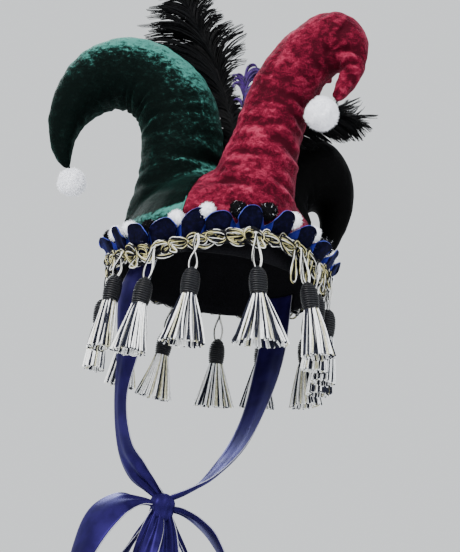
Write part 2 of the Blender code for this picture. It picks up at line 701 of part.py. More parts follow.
def build_ties_and_bow():
    satin = finish("navy_satin", (0.02, 0.02, 0.2), 0.3)
    knot_space = as_cutter(add_object("knot_space", knot_mesh("knot_space", SEAT_GAP), collection=cutters))
    add_object("bow_knot", knot_mesh("bow_knot", 0), satin)
    build_ribbon("tie_left", TIE_LEFT, satin, knot_space)
    build_ribbon("tie_right", TIE_RIGHT, satin, knot_space)
    build_ribbon("bow_loop_left", LOOP_LEFT, satin, knot_space, segments=2)
    build_ribbon("bow_loop_right", LOOP_RIGHT, satin, knot_space, segments=2)
    build_ribbon("bow_tail_left", TAIL_LEFT, satin, knot_space, segments=2)
    build_ribbon("bow_tail_right", TAIL_RIGHT, satin, knot_space, segments=2)


def feather_mesh(name, table):
    """A flat vane on its shaft, its edges in locks."""
    rows = smooth_rows(rows_of(table, FEATHER_COLUMNS), FEATHER_STEPS)
    rings = []
    for index, row in enumerate(rows):
        lean = math.radians(row["lean"])
        across = Vector((math.cos(lean), 0, -math.sin(lean)))
        depth = Vector((0, 1, 0))
        lock = 1 + (FEATHER_LOCK if index % 2 else -FEATHER_LOCK) * min(1, row["half"] / 20)
        half = row["half"] * MM * lock
        thick = row["thick"] / 2 * MM
        edge = min(thick, 0.7 * MM)
        outline = ((half, edge), (0, thick), (-half, edge), (-half, -edge), (0, -thick), (half, -edge))
        rings.append([place(row) + across * a + depth * d for a, d in outline])
    return loft(name, rings)


def build_feathers():
    black_feather = finish("black_feather", (0.008, 0.008, 0.01), 0.7)
    add_object("plume_tall", feather_mesh("plume_tall", TALL_PLUME), black_feather)
    add_object("plume_right", feather_mesh("plume_right", RIGHT_PLUME), black_feather)


def tuft_strip(lean, length, curl, drift):
    """One curled strip: it leaves the foot's top and rolls over to its side."""
    spot = Vector((*TUFT_FOOT[-1], TUFT_FOOT_Z[-1] - 3))
    heading = math.radians(lean)
    points = []
    for step in range(TUFT_STEPS):
        points.append(spot * MM)
        onward = Vector((math.sin(heading), drift / length, math.cos(heading)))
        spot = spot + onward * length / TUFT_STEPS
        heading += curl * step / 20
    return wire_mesh("tuft_strip", points, TUFT_STRIP_RADIUS)


def build_tuft():
    foot = [Vector((*spot, z)) * MM for spot, z in zip(TUFT_FOOT, TUFT_FOOT_Z)]
    meshes = [wire_mesh("tuft_foot", foot, TUFT_FOOT_RADIUS)]
    meshes += [tuft_strip(*strip) for strip in TUFT_STRIPS]
    violet_feather = finish("violet_feather", (0.08, 0.02, 0.3), 0.6)
    add_object("feather_tuft", fused("feather_tuft", meshes), violet_feather)


clear_scene()
parts = new_collection("clown_hat")
cutters = new_collection("cutters")
white_wool = finish("white_wool", (0.85, 0.86, 0.9), 0.9)
green_velvet = finish("green_velvet", (0.01, 0.07, 0.055), 0.6)
red_velvet = finish("red_velvet", (0.28, 0.01, 0.04), 0.6)
black_velvet = finish("black_velvet", (0.006, 0.006, 0.008), 0.7)
build_cap()
space = cap_cutter()
build_horn("green", GREEN_SECTIONS, (SEAM_BLACK_GREEN, SEAM_RED_GREEN), green_velvet, space)
build_horn("red", RED_SECTIONS, (SEAM_RED_GREEN, SEAM_RED_BLACK), red_velvet, space)
build_horn("black", BLACK_SECTIONS, (SEAM_RED_BLACK, SEAM_BLACK_GREEN), black_velvet, space)
build_ruche()
build_rim_pompoms()
build_tassels(build_braid())
build_ties_and_bow()
build_feathers()
build_tuft()
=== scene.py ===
"""Looks of the jester hat: velvet horns, lining, ruche, braid, tassels, pompoms, plumes and satin ties.

Metres, +Z up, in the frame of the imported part. Tables are in millimetres and degrees where they don't say
otherwise. Those of the horns, tassels, ribbons and plumes repeat the part's own sections, so that each piece
lies where its solid lies.
"""

import math
import random

import bmesh
import bpy
import numpy as np
from mathutils import Matrix, Vector


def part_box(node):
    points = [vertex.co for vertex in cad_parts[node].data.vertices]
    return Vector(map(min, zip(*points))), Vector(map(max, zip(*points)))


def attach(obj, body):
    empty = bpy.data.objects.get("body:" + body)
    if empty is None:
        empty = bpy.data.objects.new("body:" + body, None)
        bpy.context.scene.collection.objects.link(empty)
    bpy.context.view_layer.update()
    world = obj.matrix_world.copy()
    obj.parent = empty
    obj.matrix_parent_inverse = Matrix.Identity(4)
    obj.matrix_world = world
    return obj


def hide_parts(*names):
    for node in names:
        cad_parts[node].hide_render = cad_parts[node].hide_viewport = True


bl_info = {
    "name": "Jester hat looks",
    "version": (1, 0, 0),
    "blender": (4, 5, 0),
    "location": "View3D > Sidebar > Jester hat",
    "description": "Dresses the packed jester hat with cloth, cords, tassels, pompoms and plumes",
    "category": "Object",
}

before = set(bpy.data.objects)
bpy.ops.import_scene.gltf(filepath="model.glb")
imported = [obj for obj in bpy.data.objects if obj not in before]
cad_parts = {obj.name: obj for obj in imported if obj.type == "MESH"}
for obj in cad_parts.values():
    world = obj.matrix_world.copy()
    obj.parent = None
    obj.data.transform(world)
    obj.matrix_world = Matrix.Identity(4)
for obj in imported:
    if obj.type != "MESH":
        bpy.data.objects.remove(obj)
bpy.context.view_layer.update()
MM = 0.001

# Cap and rim, as in the part
CAP_HALF_WIDTH = 88 * MM
CAP_HALF_DEPTH = 96 * MM
CAP_HEIGHT = 86 * MM
CAP_RIM_Z = -14 * MM
# Middle of the braid: azimuth and height
BRAID_LINE = (
    (0, -3), (30, -6), (90, -6), (135, -6), (180, -8), (208, -13), (232, -19), (248, -12),
    (262, -5), (272, -2), (286, 2), (300, 4), (315, 1), (330, -3), (346, -3),
)
BRAID_OUT = 9 * MM
BRAID_HALF_HEIGHT = 5.2 * MM

# The velvet panels' inner face lies just outside the cap, at this share of the cap's size. While a horn is
# remeshed that face is drawn in, so that the thin panel stays whole.
PANEL_INNER_SHARE = 1.0075
PANEL_BACKING = 0.88
# A horn's foot is sewn down below this height in mm, or where it lies this near to the cap's outer face, and
# the sewn cloth keeps this share of its shape
SEWN_HEIGHT = 12
SEWN_SHARE = 1.06
SEWN_HOLD = 0.8
# Crushed cloth: sizes in metres of its broad and fine ripples and of the wrinkles that run round a horn, and
# the radius at which those are worked out
BROAD_RIPPLE = 0.022
FINE_RIPPLE = 0.009
WRINKLE = 0.011
WRINKLE_RADIUS = 0.009

# Horn centre lines, for placing folds. lean: tilt of the section from level, towards +X, in degrees.
LINE_COLUMNS = ("x", "y", "z", "lean")
GREEN_LINE = (
    (-47, 3, 8, 0), (-46, 3, 38, -2), (-44, 1, 71, -11), (-43.5, 1, 86, -15), (-45, 0, 105, -19),
    (-48.5, 0, 127, -19), (-54.5, 0, 147, -26), (-64, 1, 162, -37), (-76, 2, 172, -48), (-89, 3, 179, -60),
    (-102, 4, 182, -73), (-115, 5, 182, -86), (-127, 6, 177, -97), (-137.5, 7, 170, -105),
    (-147, 8, 160, -113), (-154.5, 8, 145, -124), (-158, 8, 130, -134), (-158.5, 8, 114, -146),
    (-156.5, 8, 101, -156), (-152.5, 8, 90, -164), (-149.5, 8, 84, -172),
)
RED_LINE = (
    (18, -46, 8, 0), (18, -50, 37, 3), (21, -52, 54, 4), (26.5, -56, 89, 4), (29.5, -58, 106, 4),
    (32.5, -60, 124, 6), (36.5, -62, 141, 8), (42.5, -65, 158, 14), (49.5, -68, 171.5, 22),
    (57.5, -72, 182, 34), (65.5, -76, 190, 50), (73, -80, 195, 65), (80.5, -83, 197, 80),
    (87.5, -85, 195.5, 95), (92.5, -87, 191, 110), (96, -88, 184, 126), (97, -88, 174.5, 143),
    (95.5, -88, 163.5, 157), (91.5, -88, 152.5, 170), (86.5, -88, 143.5, 190), (83, -88, 138.5, 206),
)
BLACK_LINE = (
    (33, 36, 8, 0), (36, 39, 42, 3), (39, 42, 58, 7), (42, 45, 73, 14), (48, 50, 93, 33),
    (58, 55, 112, 60), (70.5, 59, 121.5, 83), (81, 62, 124.5, 95), (89.5, 64, 124, 105),
    (95.5, 66, 120, 115), (101, 68, 113, 130), (104.5, 70, 103, 145), (105.5, 70, 90, 159),
    (104.5, 71, 77, 168), (102.5, 72, 65, 173), (100.5, 73, 53, 175), (99, 74, 43, 177),
)
# Folds: place along the centre line in mm, angle round it (0 = right or outer flank, -90 = to the front),
# reach round it, depth and half width in mm, and how far the fold slants along the horn per 90 degrees.
FOLD_COLUMNS = ("place", "angle", "reach", "depth", "width", "slant")
GREEN_FOLDS = (
    (60, -120, 60, 1.6, 5, 14), (84, -60, 55, 1.2, 5, -10), (128, -150, 45, 1.8, 4, 8),
    (150, 190, 50, 2.2, 4, 6), (166, 185, 55, 2.6, 4, -6), (182, 190, 50, 2.2, 3.5, 5),
    (198, 180, 55, 2.4, 4, -4), (214, 190, 48, 2.0, 3.5, 6), (230, 185, 45, 1.8, 3.5, -5),
    (256, 200, 45, 1.4, 4, 5), (280, 190, 45, 1.2, 4, -5),
)
RED_FOLDS = (
    (46, -120, 60, 2.2, 4.6, 12), (58, -40, 55, 2.4, 3.8, -12), (67, -100, 45, 1.6, 3.2, 7),
    (76, -110, 50, 1.8, 4.2, 10), (88, -30, 60, 2.6, 4, -9), (97, -75, 42, 1.7, 3, -7),
    (106, -95, 60, 2.0, 4.4, 10), (118, -20, 55, 2.6, 4, -8), (127, -80, 40, 1.5, 3, 6),
    (138, -60, 60, 2.2, 4.4, 9), (150, -10, 60, 2.8, 4, -7), (164, -30, 60, 2.8, 4, 8),
    (176, 0, 62, 3.2, 3.5, -5), (187, -20, 62, 3.4, 3.5, 6), (198, 0, 64, 3.6, 3.5, -6),
    (208, -15, 64, 3.4, 3.2, 6), (218, -40, 80, 2.8, 3.4, -8), (229, -60, 90, 2.4, 3.2, 8),
    (240, -70, 90, 2.2, 3.2, -8), (251, -90, 90, 1.8, 3, 7), (261, -80, 90, 1.4, 3, -6),
)
BLACK_FOLDS = (
    (66, 10, 60, 1.6, 5, 8), (96, 0, 60, 2.0, 4.5, -6), (118, 5, 60, 2.2, 4, 6),
    (140, -5, 60, 2.0, 4, -6), (166, 0, 60, 1.6, 4, 5),
)

# A fold wanders this far in mm, and the cloth beside it rises by this share of its depth, this many half
# widths away
FOLD_MEANDER = 1.6
FOLD_SHOULDER = 0.42
FOLD_SHOULDER_PLACE = 1.9

# Horns with painted top light: strong below a line round the foot, where the flare catches light, held off
# from there up to where it slowly returns. The line's X and height, and the other places, in metres
TOP_LIGHT_LINES = {"horn_green": ((-0.08, 0.025), (-0.06, 0.024), (-0.04, 0.03), (-0.02, 0.041), (0, 0.054))}
TOP_LIGHT_LINE_BLUR = 0.005
FOOT_TOP_LIGHT = 2
TOP_LIGHT_HELD_OFF_TO = 0.055
TOP_LIGHT_RETURN = 0.03

# Sewn seams along each horn: from and to along the centre line in mm, angle round it and depth in mm
SEAMS = ((24, 330, 0, 0.5), (24, 330, 180, 0.5))
SEAM_END = 12
SEAM_HALF_WIDTH = 1.7

# Lining: its mesh, the share of its rows that make the upright band, its sewn seams, and sizes in mm
LINING_SEGMENTS = 120
LINING_RINGS = 34
LINING_BAND_SHARE = 0.2
LINING_SEAMS = 6
LINING_TOP_INSET = 0.4
LINING_INSET = 0.9
LINING_PINCH = 0.9
LINING_CREASE = 0.5
LINING_HEM = 0.5
LINING_HEM_TOP = -9
LINING_THICKNESS = 1.6

# Ruche: one tongue between each two rim pompoms, the first from this azimuth on. Sizes are in mm.
TONGUES = 24
TONGUE_STEP = 15
TONGUE_PHASE = 262
RUCHE_DIP_HEIGHT = 7.5
RUCHE_TONGUE_HEIGHT = 19.5
RUCHE_OUT = 3.9
RUCHE_SWELL_FOOT = 2.2
RUCHE_SWELL = 9.8
RUCHE_CURL = 2.6
RUCHE_GATHER = 0.7
RUCHE_EDGE_DROOP = 1.6
RUCHE_FOOT_BELOW = 2.0
RUCHE_THICKNESS = 0.7
# Half of one tongue's top edge, from its middle to the valley. way: share of the way along the ribbon.
# along: degrees along the rim. crown: height from the valley (0) to the top (1). stand: how far it stands
# out (0 to 1). The second table is for a side that curls over its valley.
TONGUE_COLUMNS = ("way", "along", "crown", "stand")
PLAIN_SIDE = (
    (0, 0, 1, 1), (0.14, 1.9, 0.97, 0.98), (0.28, 3.6, 0.85, 0.91), (0.42, 4.9, 0.64, 0.76),
    (0.56, 5.8, 0.4, 0.54), (0.7, 6.5, 0.2, 0.3), (0.85, 7.0, 0.06, 0.12), (1, 7.5, 0, 0),
)
CURLED_SIDE = (
    (0, 0, 1, 1), (0.14, 2.4, 0.97, 1.0), (0.28, 4.4, 0.82, 1.0), (0.42, 6.0, 0.52, 0.95),
    (0.56, 7.1, 0.27, 0.8), (0.7, 6.9, 0.14, 0.45), (0.85, 6.7, 0.06, 0.18), (1, 7.5, 0, 0),
)
# The side of each tongue that curls: l for left, r for right and - for none
CURLED_SIDES = "lll--lr-l-r-lr-l-r-lrrr-"
# What differs from tongue to tongue, and between which two values
TONGUE_TRAITS = {
    "depth": (0.85, 1.15), "height": (0.82, 1.12), "twist": (-2.8, 2.8), "skew": (-1.8, 1.8),
    "bulge": (0.85, 1.15), "width": (0.84, 1.22), "pleat": (0, 6.3),
}
# Ribbon lower than this share of a tongue's stand takes the brighter satin: a painted highlight in the
# valleys
VALLEY_HIGHLIGHT_STAND = 0.6
RUCHE_SAMPLES = 34
RUCHE_ROWS = 11
# Pompoms: radius in mm, colour round the rim, and their fibres' count per square metre, length, width in
# metres and tilt
RIM_POMPOM_RADIUS = 6.5
RIM_POMPOM_COLOURS = "WBBWWBWBWBWBWBWBWBWBWWBW"

TIP_POMPOMS = {"green": 12.6, "red": 14.4, "black": 12.6}
TIP_FIBRE_DENSITY = 1.9e6
RIM_FIBRE_DENSITY = 1.6e6
TINSEL_DENSITY = 7e4
RIM_FIBRE_LENGTH = 0.0022
TINSEL_LENGTH = 0.0026
FIBRE_WIDTH = 0.0005
TINSEL_WIDTH = 0.00045
FIBRE_TILT = 0.9
TINSEL_TILT = 1.4

# Braid: two strands of three looped cords, chained through each other over a core and a tape. Sizes are in
# mm, and the links differ in size, sway and bulk between two values.
CHAIN_LINKS = 40
CHAIN_STEPS = 22
CHAIN_HEIGHT = 5.4
CHAIN_DEPTH = 2.6
CHAIN_OVERLAP = 1.02
CHAIN_UNEVEN = (0.5, 1.3)
CHAIN_SWAY = (-1.8, 1.8)
CHAIN_BULK = (-0.8, 1.6)
TAPE_OUT = 5.0 * MM
TAPE_EDGES = (-4.8, 4.2)
CORD_PITCH = 26
# Loose loops of cord that hang off the braid: azimuth in degrees, and drop, width and sideways lean in mm
LOOSE_LOOPS = (
    (207, 13, 6, 2), (226, 10, 8, -3), (247, 7, 8, 3), (289, 8, 8, 2), (309, 29, 5, 2), (313.5, 26, 6, 4),
    (318, 31, 5, 4), (322, 14, 11, 4), (326, 24, 8, 6), (331, 12, 12, -3), (336, 20, 9, -5), (341, 11, 12, 4),
    (347, 17, 8, 2), (353, 9, 10, -2), (40, 9, 9, 3), (100, 8, 9, -2), (155, 10, 8, 3),
)

# Tassels: azimuth round the rim and splay and lean in degrees, then the skirt's spread and the loop in mm
TASSEL_COLUMNS = ("azimuth", "splay", "sideways", "spread", "loop")
TASSELS = (
    (216, 6, 0, 14, 22), (238, 7, -2, 16, 28), (259, 5, 0, 19, 30), (286, 5, 7, 24, 30),
    (312, 12, 8, 17, 31), (326, 1, 5, 15, 29), (345, 1, 1, 16, 31), (9, 1, 2, 17, 30),
    (34, 4, -3, 19, 31), (61, 6, 2, 18, 29), (87, 6, -2, 19, 30), (113, 5, 3, 18, 30),
    (140, 2, -2, 17, 29), (168, 0, 0, 14, 26),
)
# Head: depth below its top and radius there in mm, and how much flatter than round it is
TASSEL_HEAD = ((0, 2.6), (1.5, 4.6), (4, 6.6), (8, 7.7), (14, 7.9), (19, 7.5), (22, 6.9), (23.5, 6.5))
HEAD_FLAT = 0.94
HEAD_START = 0.3
CORE_INSET = 1.3
WIND_INSET = 0.75
WIND_PITCH = 1.95
WIND_STEPS = 22
WIND_RADIUS = 0.84
HEAD_FOLDS = 12
HEAD_FOLD = ((-1.2, 0.6), (0.0, 2.2), (1.2, 3.9), (3.0, 5.2))
HEAD_FOLD_RADIUS = 0.95
# Skirt: sizes in mm, how far in its rings of threads lie, a thread's radii from top to end, and the shades
# that one is drawn from
SKIRT_START = 23
SKIRT_LENGTH = 41
SKIRT_TOP_RADIUS = 5.9
SKIRT_FLAT = 0.62
SKIRT_RINGS = (1.0, 0.93, 0.7)
SKIRT_RADII = (0.72, 0.72, 0.73, 0.75, 0.78, 0.81, 0.78)
SKIRT_SHADES = ("wwwbbbbbcw", "wwwwwwwbbc")

# Ribbons: centre line and width in mm, direction across in degrees, and cup in mm
RIBBON_FULL_WIDTH = 39
RIBBON_THICKNESS = 0.5
RIBBON_PLEAT = 3.2
RIBBON_RIPPLE_LENGTH = 17
RIBBON_STEPS = 9
RIBBON_POINTS_ACROSS = 15
RIBBON_COLUMNS = ("x", "y", "z", "width", "across_azimuth", "across_pitch", "cup")
TIE_LEFT = (
    (-62.7, -57.5, 1, 38, -53, 0, -2.3), (-62.7, -57.5, -17, 38, -53, 0, -2.3),
    (-69, -51, -46, 37, -46, 0, -4), (-67, -44, -84, 35, -52, 0, -5),
    (-68, -34, -130, 34, -68, 0, -4), (-60.5, -25, -168, 34, -66, 0, -3),
    (-48, -22, -188, 28, -58, 20, -2), (-36, -21, -199, 18, -40, 20, -1),
    (-26, -20, -208, 11, -20, 0, 0),
)
TIE_RIGHT = (
    (57.9, 63.2, 1, 38, 132.5, 0, -2.3), (57.9, 63.2, -17, 38, 132.5, 0, -2.3),
    (57, 60, -55, 37, 130, 0, -3), (49, 47, -105, 36, 125, 0, -4),
    (35, 29, -148, 35, 120, 0, -4), (14, 9, -182, 28, 115, 0, -2),
    (-4, -8, -199, 18, 110, 0, -1), (-19, -18, -209, 11, 100, 0, 0),
)
LOOP_LEFT = (
    (-27, -20, -216, 9, 90, 10, 0), (-40, -21, -214, 20, 90, 25, 2), (-56, -25, -217, 34, 90, 40, 4),
    (-70, -29, -231, 39, 110, 40, 4), (-80, -31, -254, 39, 120, 25, 3), (-87, -28, -282, 39, 120, 10, 3),
    (-86, -18, -302, 39, 100, 0, 3), (-72, -10, -298, 39, 90, -8, 3), (-58, -9, -272, 36, 90, -8, 3),
    (-44, -12, -245, 22, 90, 0, 1), (-31, -18, -226, 9, 90, 0, 0),
)
LOOP_RIGHT = (
    (-18, -18, -217, 9, 90, 0, 0), (-6, -14, -217, 18, 90, 0, 2), (9, -8, -223, 34, 90, 0, 4),
    (24, -1, -235, 39, 90, 0, 4), (38, 4, -256, 39, 90, 0, 3), (45, 8, -282, 39, 90, 0, 3),
    (38, 12, -302, 39, 90, 0, 3), (24, 13, -296, 39, 90, 0, 3), (12, 8, -272, 36, 90, 0, 3),
    (-2, -3, -246, 20, 90, 0, 1), (-14, -12, -226, 9, 90, 0, 0),
)
TAIL_LEFT = (
    (-26, -25, -221, 10, 0, 0, 0), (-28, -29, -237, 19, -25, 0, -2), (-32, -32, -262, 28, -45, 0, -3),
    (-35, -31, -292, 35, -52, 0, -4), (-39, -28, -322, 38, -52, 0, -3), (-42, -26, -348, 38, -50, 0, -2),
)
TAIL_RIGHT = (
    (-19, -22, -222, 10, 0, 0, 0), (-15, -24, -238, 17, 20, 0, 2), (-11, -25, -264, 26, 45, 0, 3),
    (-7, -22, -294, 35, 52, 0, 4), (-3, -19, -326, 38, 52, 0, 3), (0, -17, -356, 38, 50, 0, 2),
)
# How each ribbon is held, its ripple in mm, and whether its end is cut in a notch
RIBBONS = {
    "tie_left": (TIE_LEFT, "hung", 0.6, False),
    "tie_right": (TIE_RIGHT, "hung", 0.6, False),
    "bow_loop_left": (LOOP_LEFT, "folded", 2.2, False),
    "bow_loop_right": (LOOP_RIGHT, "folded", 1.3, False),
    "bow_tail_left": (TAIL_LEFT, "hung", 1.0, True),
    "bow_tail_right": (TAIL_RIGHT, "hung", 1.0, True),
}
NOTCH_ROWS = 4
NOTCH_DEPTH = 7
KNOT_CENTRE = (-23, -20, -217)
KNOT_HALF_SIZE = (11, 10, 12)
KNOT_RINGS = 24
KNOT_SEGMENTS = 48

# Plumes: shaft in mm, half width of the part's solid there, and lean of the feather's plane in degrees
FEATHER_COLUMNS = ("x", "y", "z", "half", "lean")
TALL_PLUME = (
    (5, 4, 89, 1, -3), (4, 9, 106, 1, -5), (1, 22, 132, 2, -8), (-3, 38, 158, 7, -14),
    (-10, 50, 181, 12, -20), (-18, 58, 204, 16, -20), (-28, 61, 231, 26, -22),
    (-35, 62, 245, 34, -24), (-44, 63, 260, 44, -26), (-54, 64, 278, 46, -28),
    (-65, 65, 296, 42, -32), (-77, 66, 313, 36, -38), (-90, 67, 327, 28, -50),
    (-104, 68, 335, 18, -68), (-115, 68, 336, 10, -85),
)
RIGHT_PLUME = (
    (12, 1, 88.2, 1, 5), (14, -3, 104, 1, 18), (22, -6, 122, 4, 32), (38, -3, 142, 8, 42),
    (56, 8, 159, 13, 50), (74, 22, 171, 18, 60), (92, 38, 178, 21, 72), (107, 51, 182, 20, 78),
    (120, 60, 185, 16, 78), (130, 66, 187, 12, 80), (134, 69, 188, 8, 80),
)
# Barbs: share of the shaft, length to the left and to the right in mm, sweep along the shaft at the root, and
# how far the left and right ones open
BARB_COLUMNS = ("share", "left", "right", "sweep", "open_left", "open_right")
TALL_BARBS = (
    (0.06, 26, 26, 2.0, 1.7, 1.7), (0.16, 28, 28, 2.0, 1.7, 1.7), (0.26, 26, 26, 2.1, 1.7, 1.7),
    (0.33, 32, 22, 1.9, 1.7, 1.7), (0.385, 100, 17, 1.5, 1.7, 1.7), (0.43, 107, 26, 1.5, 1.7, 1.7),
    (0.46, 105, 58, 1.5, 1.7, 1.7), (0.52, 92, 53, 1.6, 1.7, 1.7), (0.57, 80, 46, 1.6, 1.7, 1.7),
    (0.64, 61, 41, 1.7, 1.7, 1.7), (0.71, 40, 31, 1.8, 1.7, 1.7), (0.8, 33, 28, 1.8, 1.7, 1.7),
    (0.9, 25, 23, 1.8, 1.7, 1.7), (0.97, 17, 17, 2.0, 1.5, 1.5),
)
RIGHT_BARBS = (
    (0.1, 5, 40, 1.3, 0.4, 1.9), (0.32, 5, 66, 1.5, 0.3, 1.8), (0.45, 8, 66, 1.8, 0.26, 1.45),
    (0.52, 34, 60, 2.0, 0.32, 1.15), (0.6, 58, 56, 1.8, 0.38, 0.95), (0.66, 54, 50, 1.75, 0.28, 0.7),
    (0.72, 45, 45, 1.7, 0.18, 0.4), (0.78, 34, 36, 1.8, 0.08, 0.15),
)
# Points of a barb, barbs in a lock, and radii in mm of a barb and of the shaft from foot to tip
BARB_STEPS = 8
BARB_LOCK = 9
BARB_RADII = (0.5, 0.55, 0.56, 0.53, 0.48, 0.42, 0.34, 0.16)
SHAFT_RADII = (1.4, 0.35)
# Share of a plume's barb that the close inner vane reaches, at the foot and at the tip, and between which
# two shares of the shaft it narrows
VANE_SHARE = (0.84, 0.4)
VANE_NARROWS = (0.3, 0.55)
VANE_ROWS = 90
VANE_COLUMNS = 5
# Tuft: curled fronds of a few strips each, off a foot in mm
TUFT_FRONDS = 20
TUFT_STRIPS = 4
TUFT_STEPS = 12
TUFT_LINE = ((6, -7, 89), (5, -3, 128), (5, 0, 160), (4, 0, 176), (3, 1, 190))

# Camera of the photograph: place in metres, upward tilt, roll and focal length in pixels
PHOTO_SIZE = (460, 552)
CAMERA_PLACE = (0.01116, -1.19445, -0.36851)
CAMERA_TILT = 17
CAMERA_ROLL = 6.7
CAMERA_FOCAL = 1400
SENSOR_HEIGHT = 24
# Studio: the floor and its half width, what the lights face, and each light's place, watts, size and colour
FLOOR_Z = -0.48
FLOOR_REACH = 3
LIT_POINT = (0, 0, 0.02)
LIGHTS = {
    "key": ((-1.0, -1.7, 1.25), 100, 0.9, (1.0, 0.985, 0.96)),
    "fill": ((1.5, -1.4, 0.35), 26, 1.2, (0.93, 0.97, 1.0)),
    "back_rim": ((-0.7, 1.3, 1.3), 45, 0.8, (0.95, 1.0, 1.0)),
}


def colour_property(name, description, default):
    return bpy.props.FloatVectorProperty(
        name=name, description=description, subtype="COLOR", size=3, min=0, max=1, default=default)


class JesterHatColours(bpy.types.PropertyGroup):
    """Cloth and cord colours"""
    # Velvet shades: the deep one shows in random low patches and as painted shade in fold hollows, the light
    # one in random crushed patches and as painted highlight on faces that look up and on fold crests.
    green_dark: colour_property(
        "Green velvet, deep", "Colour of the green nap where it lies away from the light",
        (0.0004, 0.0022, 0.0018))
    green_body: colour_property(
        "Green velvet", "Main colour of the green velvet", (0.002, 0.0082, 0.0068))
    green_light: colour_property(
        "Green velvet, light", "Colour of the crushed green nap that catches the light",
        (0.056, 0.215, 0.185))
    red_dark: colour_property(
        "Red velvet, deep", "Colour of the red nap where it lies away from the light",
        (0.03, 0.0012, 0.005))
    red_body: colour_property(
        "Red velvet", "Main colour of the red velvet", (0.105, 0.004, 0.016))
    red_light: colour_property(
        "Red velvet, light", "Colour of the crushed red nap that catches the light", (0.32, 0.032, 0.07))
    navy_body: colour_property(
        "Navy ribbon", "Colour of the satin ribbon", (0.013, 0.008, 0.06))
    white_wool: colour_property(
        "White wool", "Colour of the white pompoms", (0.97, 0.97, 0.98))


class JesterHatSizes(bpy.types.PropertyGroup):
    """Sizes of the fine detail"""
    velvet_voxel: bpy.props.FloatProperty(
        name="Velvet mesh", description="Grid size at which the stuffed horns are remeshed",
        subtype="DISTANCE", unit="LENGTH", min=0.002, default=0.0032)
    swell: bpy.props.FloatProperty(
        name="Stuffing swell", description="Most that a horn's cloth may swell out of its sections",
        subtype="DISTANCE", unit="LENGTH", min=0, default=0.0025)
    wool_length: bpy.props.FloatProperty(
        name="Wool length", description="Length of the strands on the tip pompoms",
        subtype="DISTANCE", unit="LENGTH", min=0.0005, default=0.0024)
    skirt_strands: bpy.props.IntProperty(
        name="Skirt strands", description="Strands in each tassel's skirt", min=10, default=96)
    plume_barbs: bpy.props.IntProperty(
        name="Plume barbs", description="Barbs on each side of a plume", min=20, default=1000)


# Shared maths

def rows_of(table, columns):
    return [dict(zip(columns, row)) for row in table]


def column_of(rows, columns, name):
    """One named column of an array made from a table."""
    return rows[:, columns.index(name)]


def smooth_line(points, steps):
    """Points with steps - 1 more between each two, on a Catmull-Rom curve. Any number of columns."""
    rows = np.array(points, float)
    padded = np.vstack([rows[:1], rows, rows[-1:]])
    result = []
    for index in range(len(rows) - 1):
        a, b, c, d = padded[index:index + 4]
        for step in range(steps):
            t = step / steps
            result.append(0.5 * (2 * b + (c - a) * t + (2 * a - 5 * b + 4 * c - d) * t ** 2
                                 + (3 * b - a - 3 * c + d) * t ** 3))
    result.append(rows[-1])
    return np.array(result)


def arc_lengths(points):
    return np.concatenate([[0], np.cumsum(np.linalg.norm(np.diff(points, axis=0), axis=1))])


def rim_point(azimuth, out, z):
    """A point OUT past the cap's outer face, in metres, at an azimuth in degrees."""
    angle = math.radians(azimuth)
    return Vector((
        (CAP_HALF_WIDTH + out) * math.cos(angle),
        (CAP_HALF_DEPTH + out) * math.sin(angle),
        z,
    ))


def braid_height(azimuth):
    azimuth %= 360
    closed = BRAID_LINE + ((360 + BRAID_LINE[0][0], BRAID_LINE[0][1]),)
    for (start, low), (end, high) in zip(closed, closed[1:]):
        if start <= azimuth <= end:
            share = (azimuth - start) / (end - start)
            return (low + (high - low) * (1 - math.cos(math.pi * share)) / 2) * MM
    raise ValueError("azimuth off the braid line")


def waves(points, scale, seed):
    """A smooth pseudo-random value, mostly in -1..1, at each of N points, with features about SCALE wide."""
    draw = random.Random(seed)
    total = np.zeros(len(points))
    for _ in range(7):
        heading = np.array([draw.gauss(0, 1) for _ in range(3)])
        heading /= np.linalg.norm(heading)
        rate = 2 * math.pi / (scale * draw.uniform(0.7, 1.6))
        total += np.sin(points @ heading * rate + draw.uniform(0, 2 * math.pi))
    return total / 3.2


# Mesh and object helpers

def new_object(name, data):
    thing = bpy.data.objects.new(name, data)
    bpy.context.scene.collection.objects.link(thing)
    return thing


def evaluated_mesh(thing, name):
    """The object's evaluated mesh; the object is removed."""
    bpy.context.view_layer.update()
    depsgraph = bpy.context.evaluated_depsgraph_get()
    mesh = bpy.data.meshes.new_from_object(thing.evaluated_get(depsgraph), depsgraph=depsgraph)
    mesh.name = name
    data = thing.data
    bpy.data.objects.remove(thing, do_unlink=True)
    if data.users == 0 and isinstance(data, bpy.types.Curve):
        bpy.data.curves.remove(data)
    return mesh


def coordinates(mesh):
    flat = np.zeros(len(mesh.vertices) * 3)
    mesh.vertices.foreach_get("co", flat)
    return flat.reshape(-1, 3)


def normals_of(mesh):
    flat = np.zeros(len(mesh.vertices) * 3)
    mesh.vertex_normals.foreach_get("vector", flat)
    return flat.reshape(-1, 3)


def set_coordinates(mesh, points):
    mesh.vertices.foreach_set("co", np.asarray(points, float).ravel())
    mesh.update()


def grid_mesh(name, grid, closed_u=False, closed_v=False, uv=None):
    """A mesh over a grid of points (rows, columns, 3); v runs along the rows and u along the columns."""
    rows, columns = grid.shape[:2]
    mesh = bpy.data.meshes.new(name)
    faces = []
    keys = []
    for row in range(rows if closed_v else rows - 1):
        for column in range(columns if closed_u else columns - 1):
            ahead, aside = (row + 1) % rows, (column + 1) % columns
            faces.append((row * columns + column, row * columns + aside,
                          ahead * columns + aside, ahead * columns + column))
            keys.append(((row, column), (row, column + 1), (row + 1, column + 1), (row + 1, column)))
    mesh.from_pydata(grid.reshape(-1, 3).tolist(), [], faces)
    if uv is not None:
        layer = mesh.uv_layers.new(name="UVMap")
        flat = [value for corner in keys for r, c in corner for value in uv(r, c)]
        layer.data.foreach_set("uv", flat)
    mesh.shade_smooth()
    mesh.update()
    return mesh


def fix_normals(mesh):
    work = bmesh.new()
    work.from_mesh(mesh)
    bmesh.ops.recalc_face_normals(work, faces=work.faces)
    work.to_mesh(mesh)
    work.free()


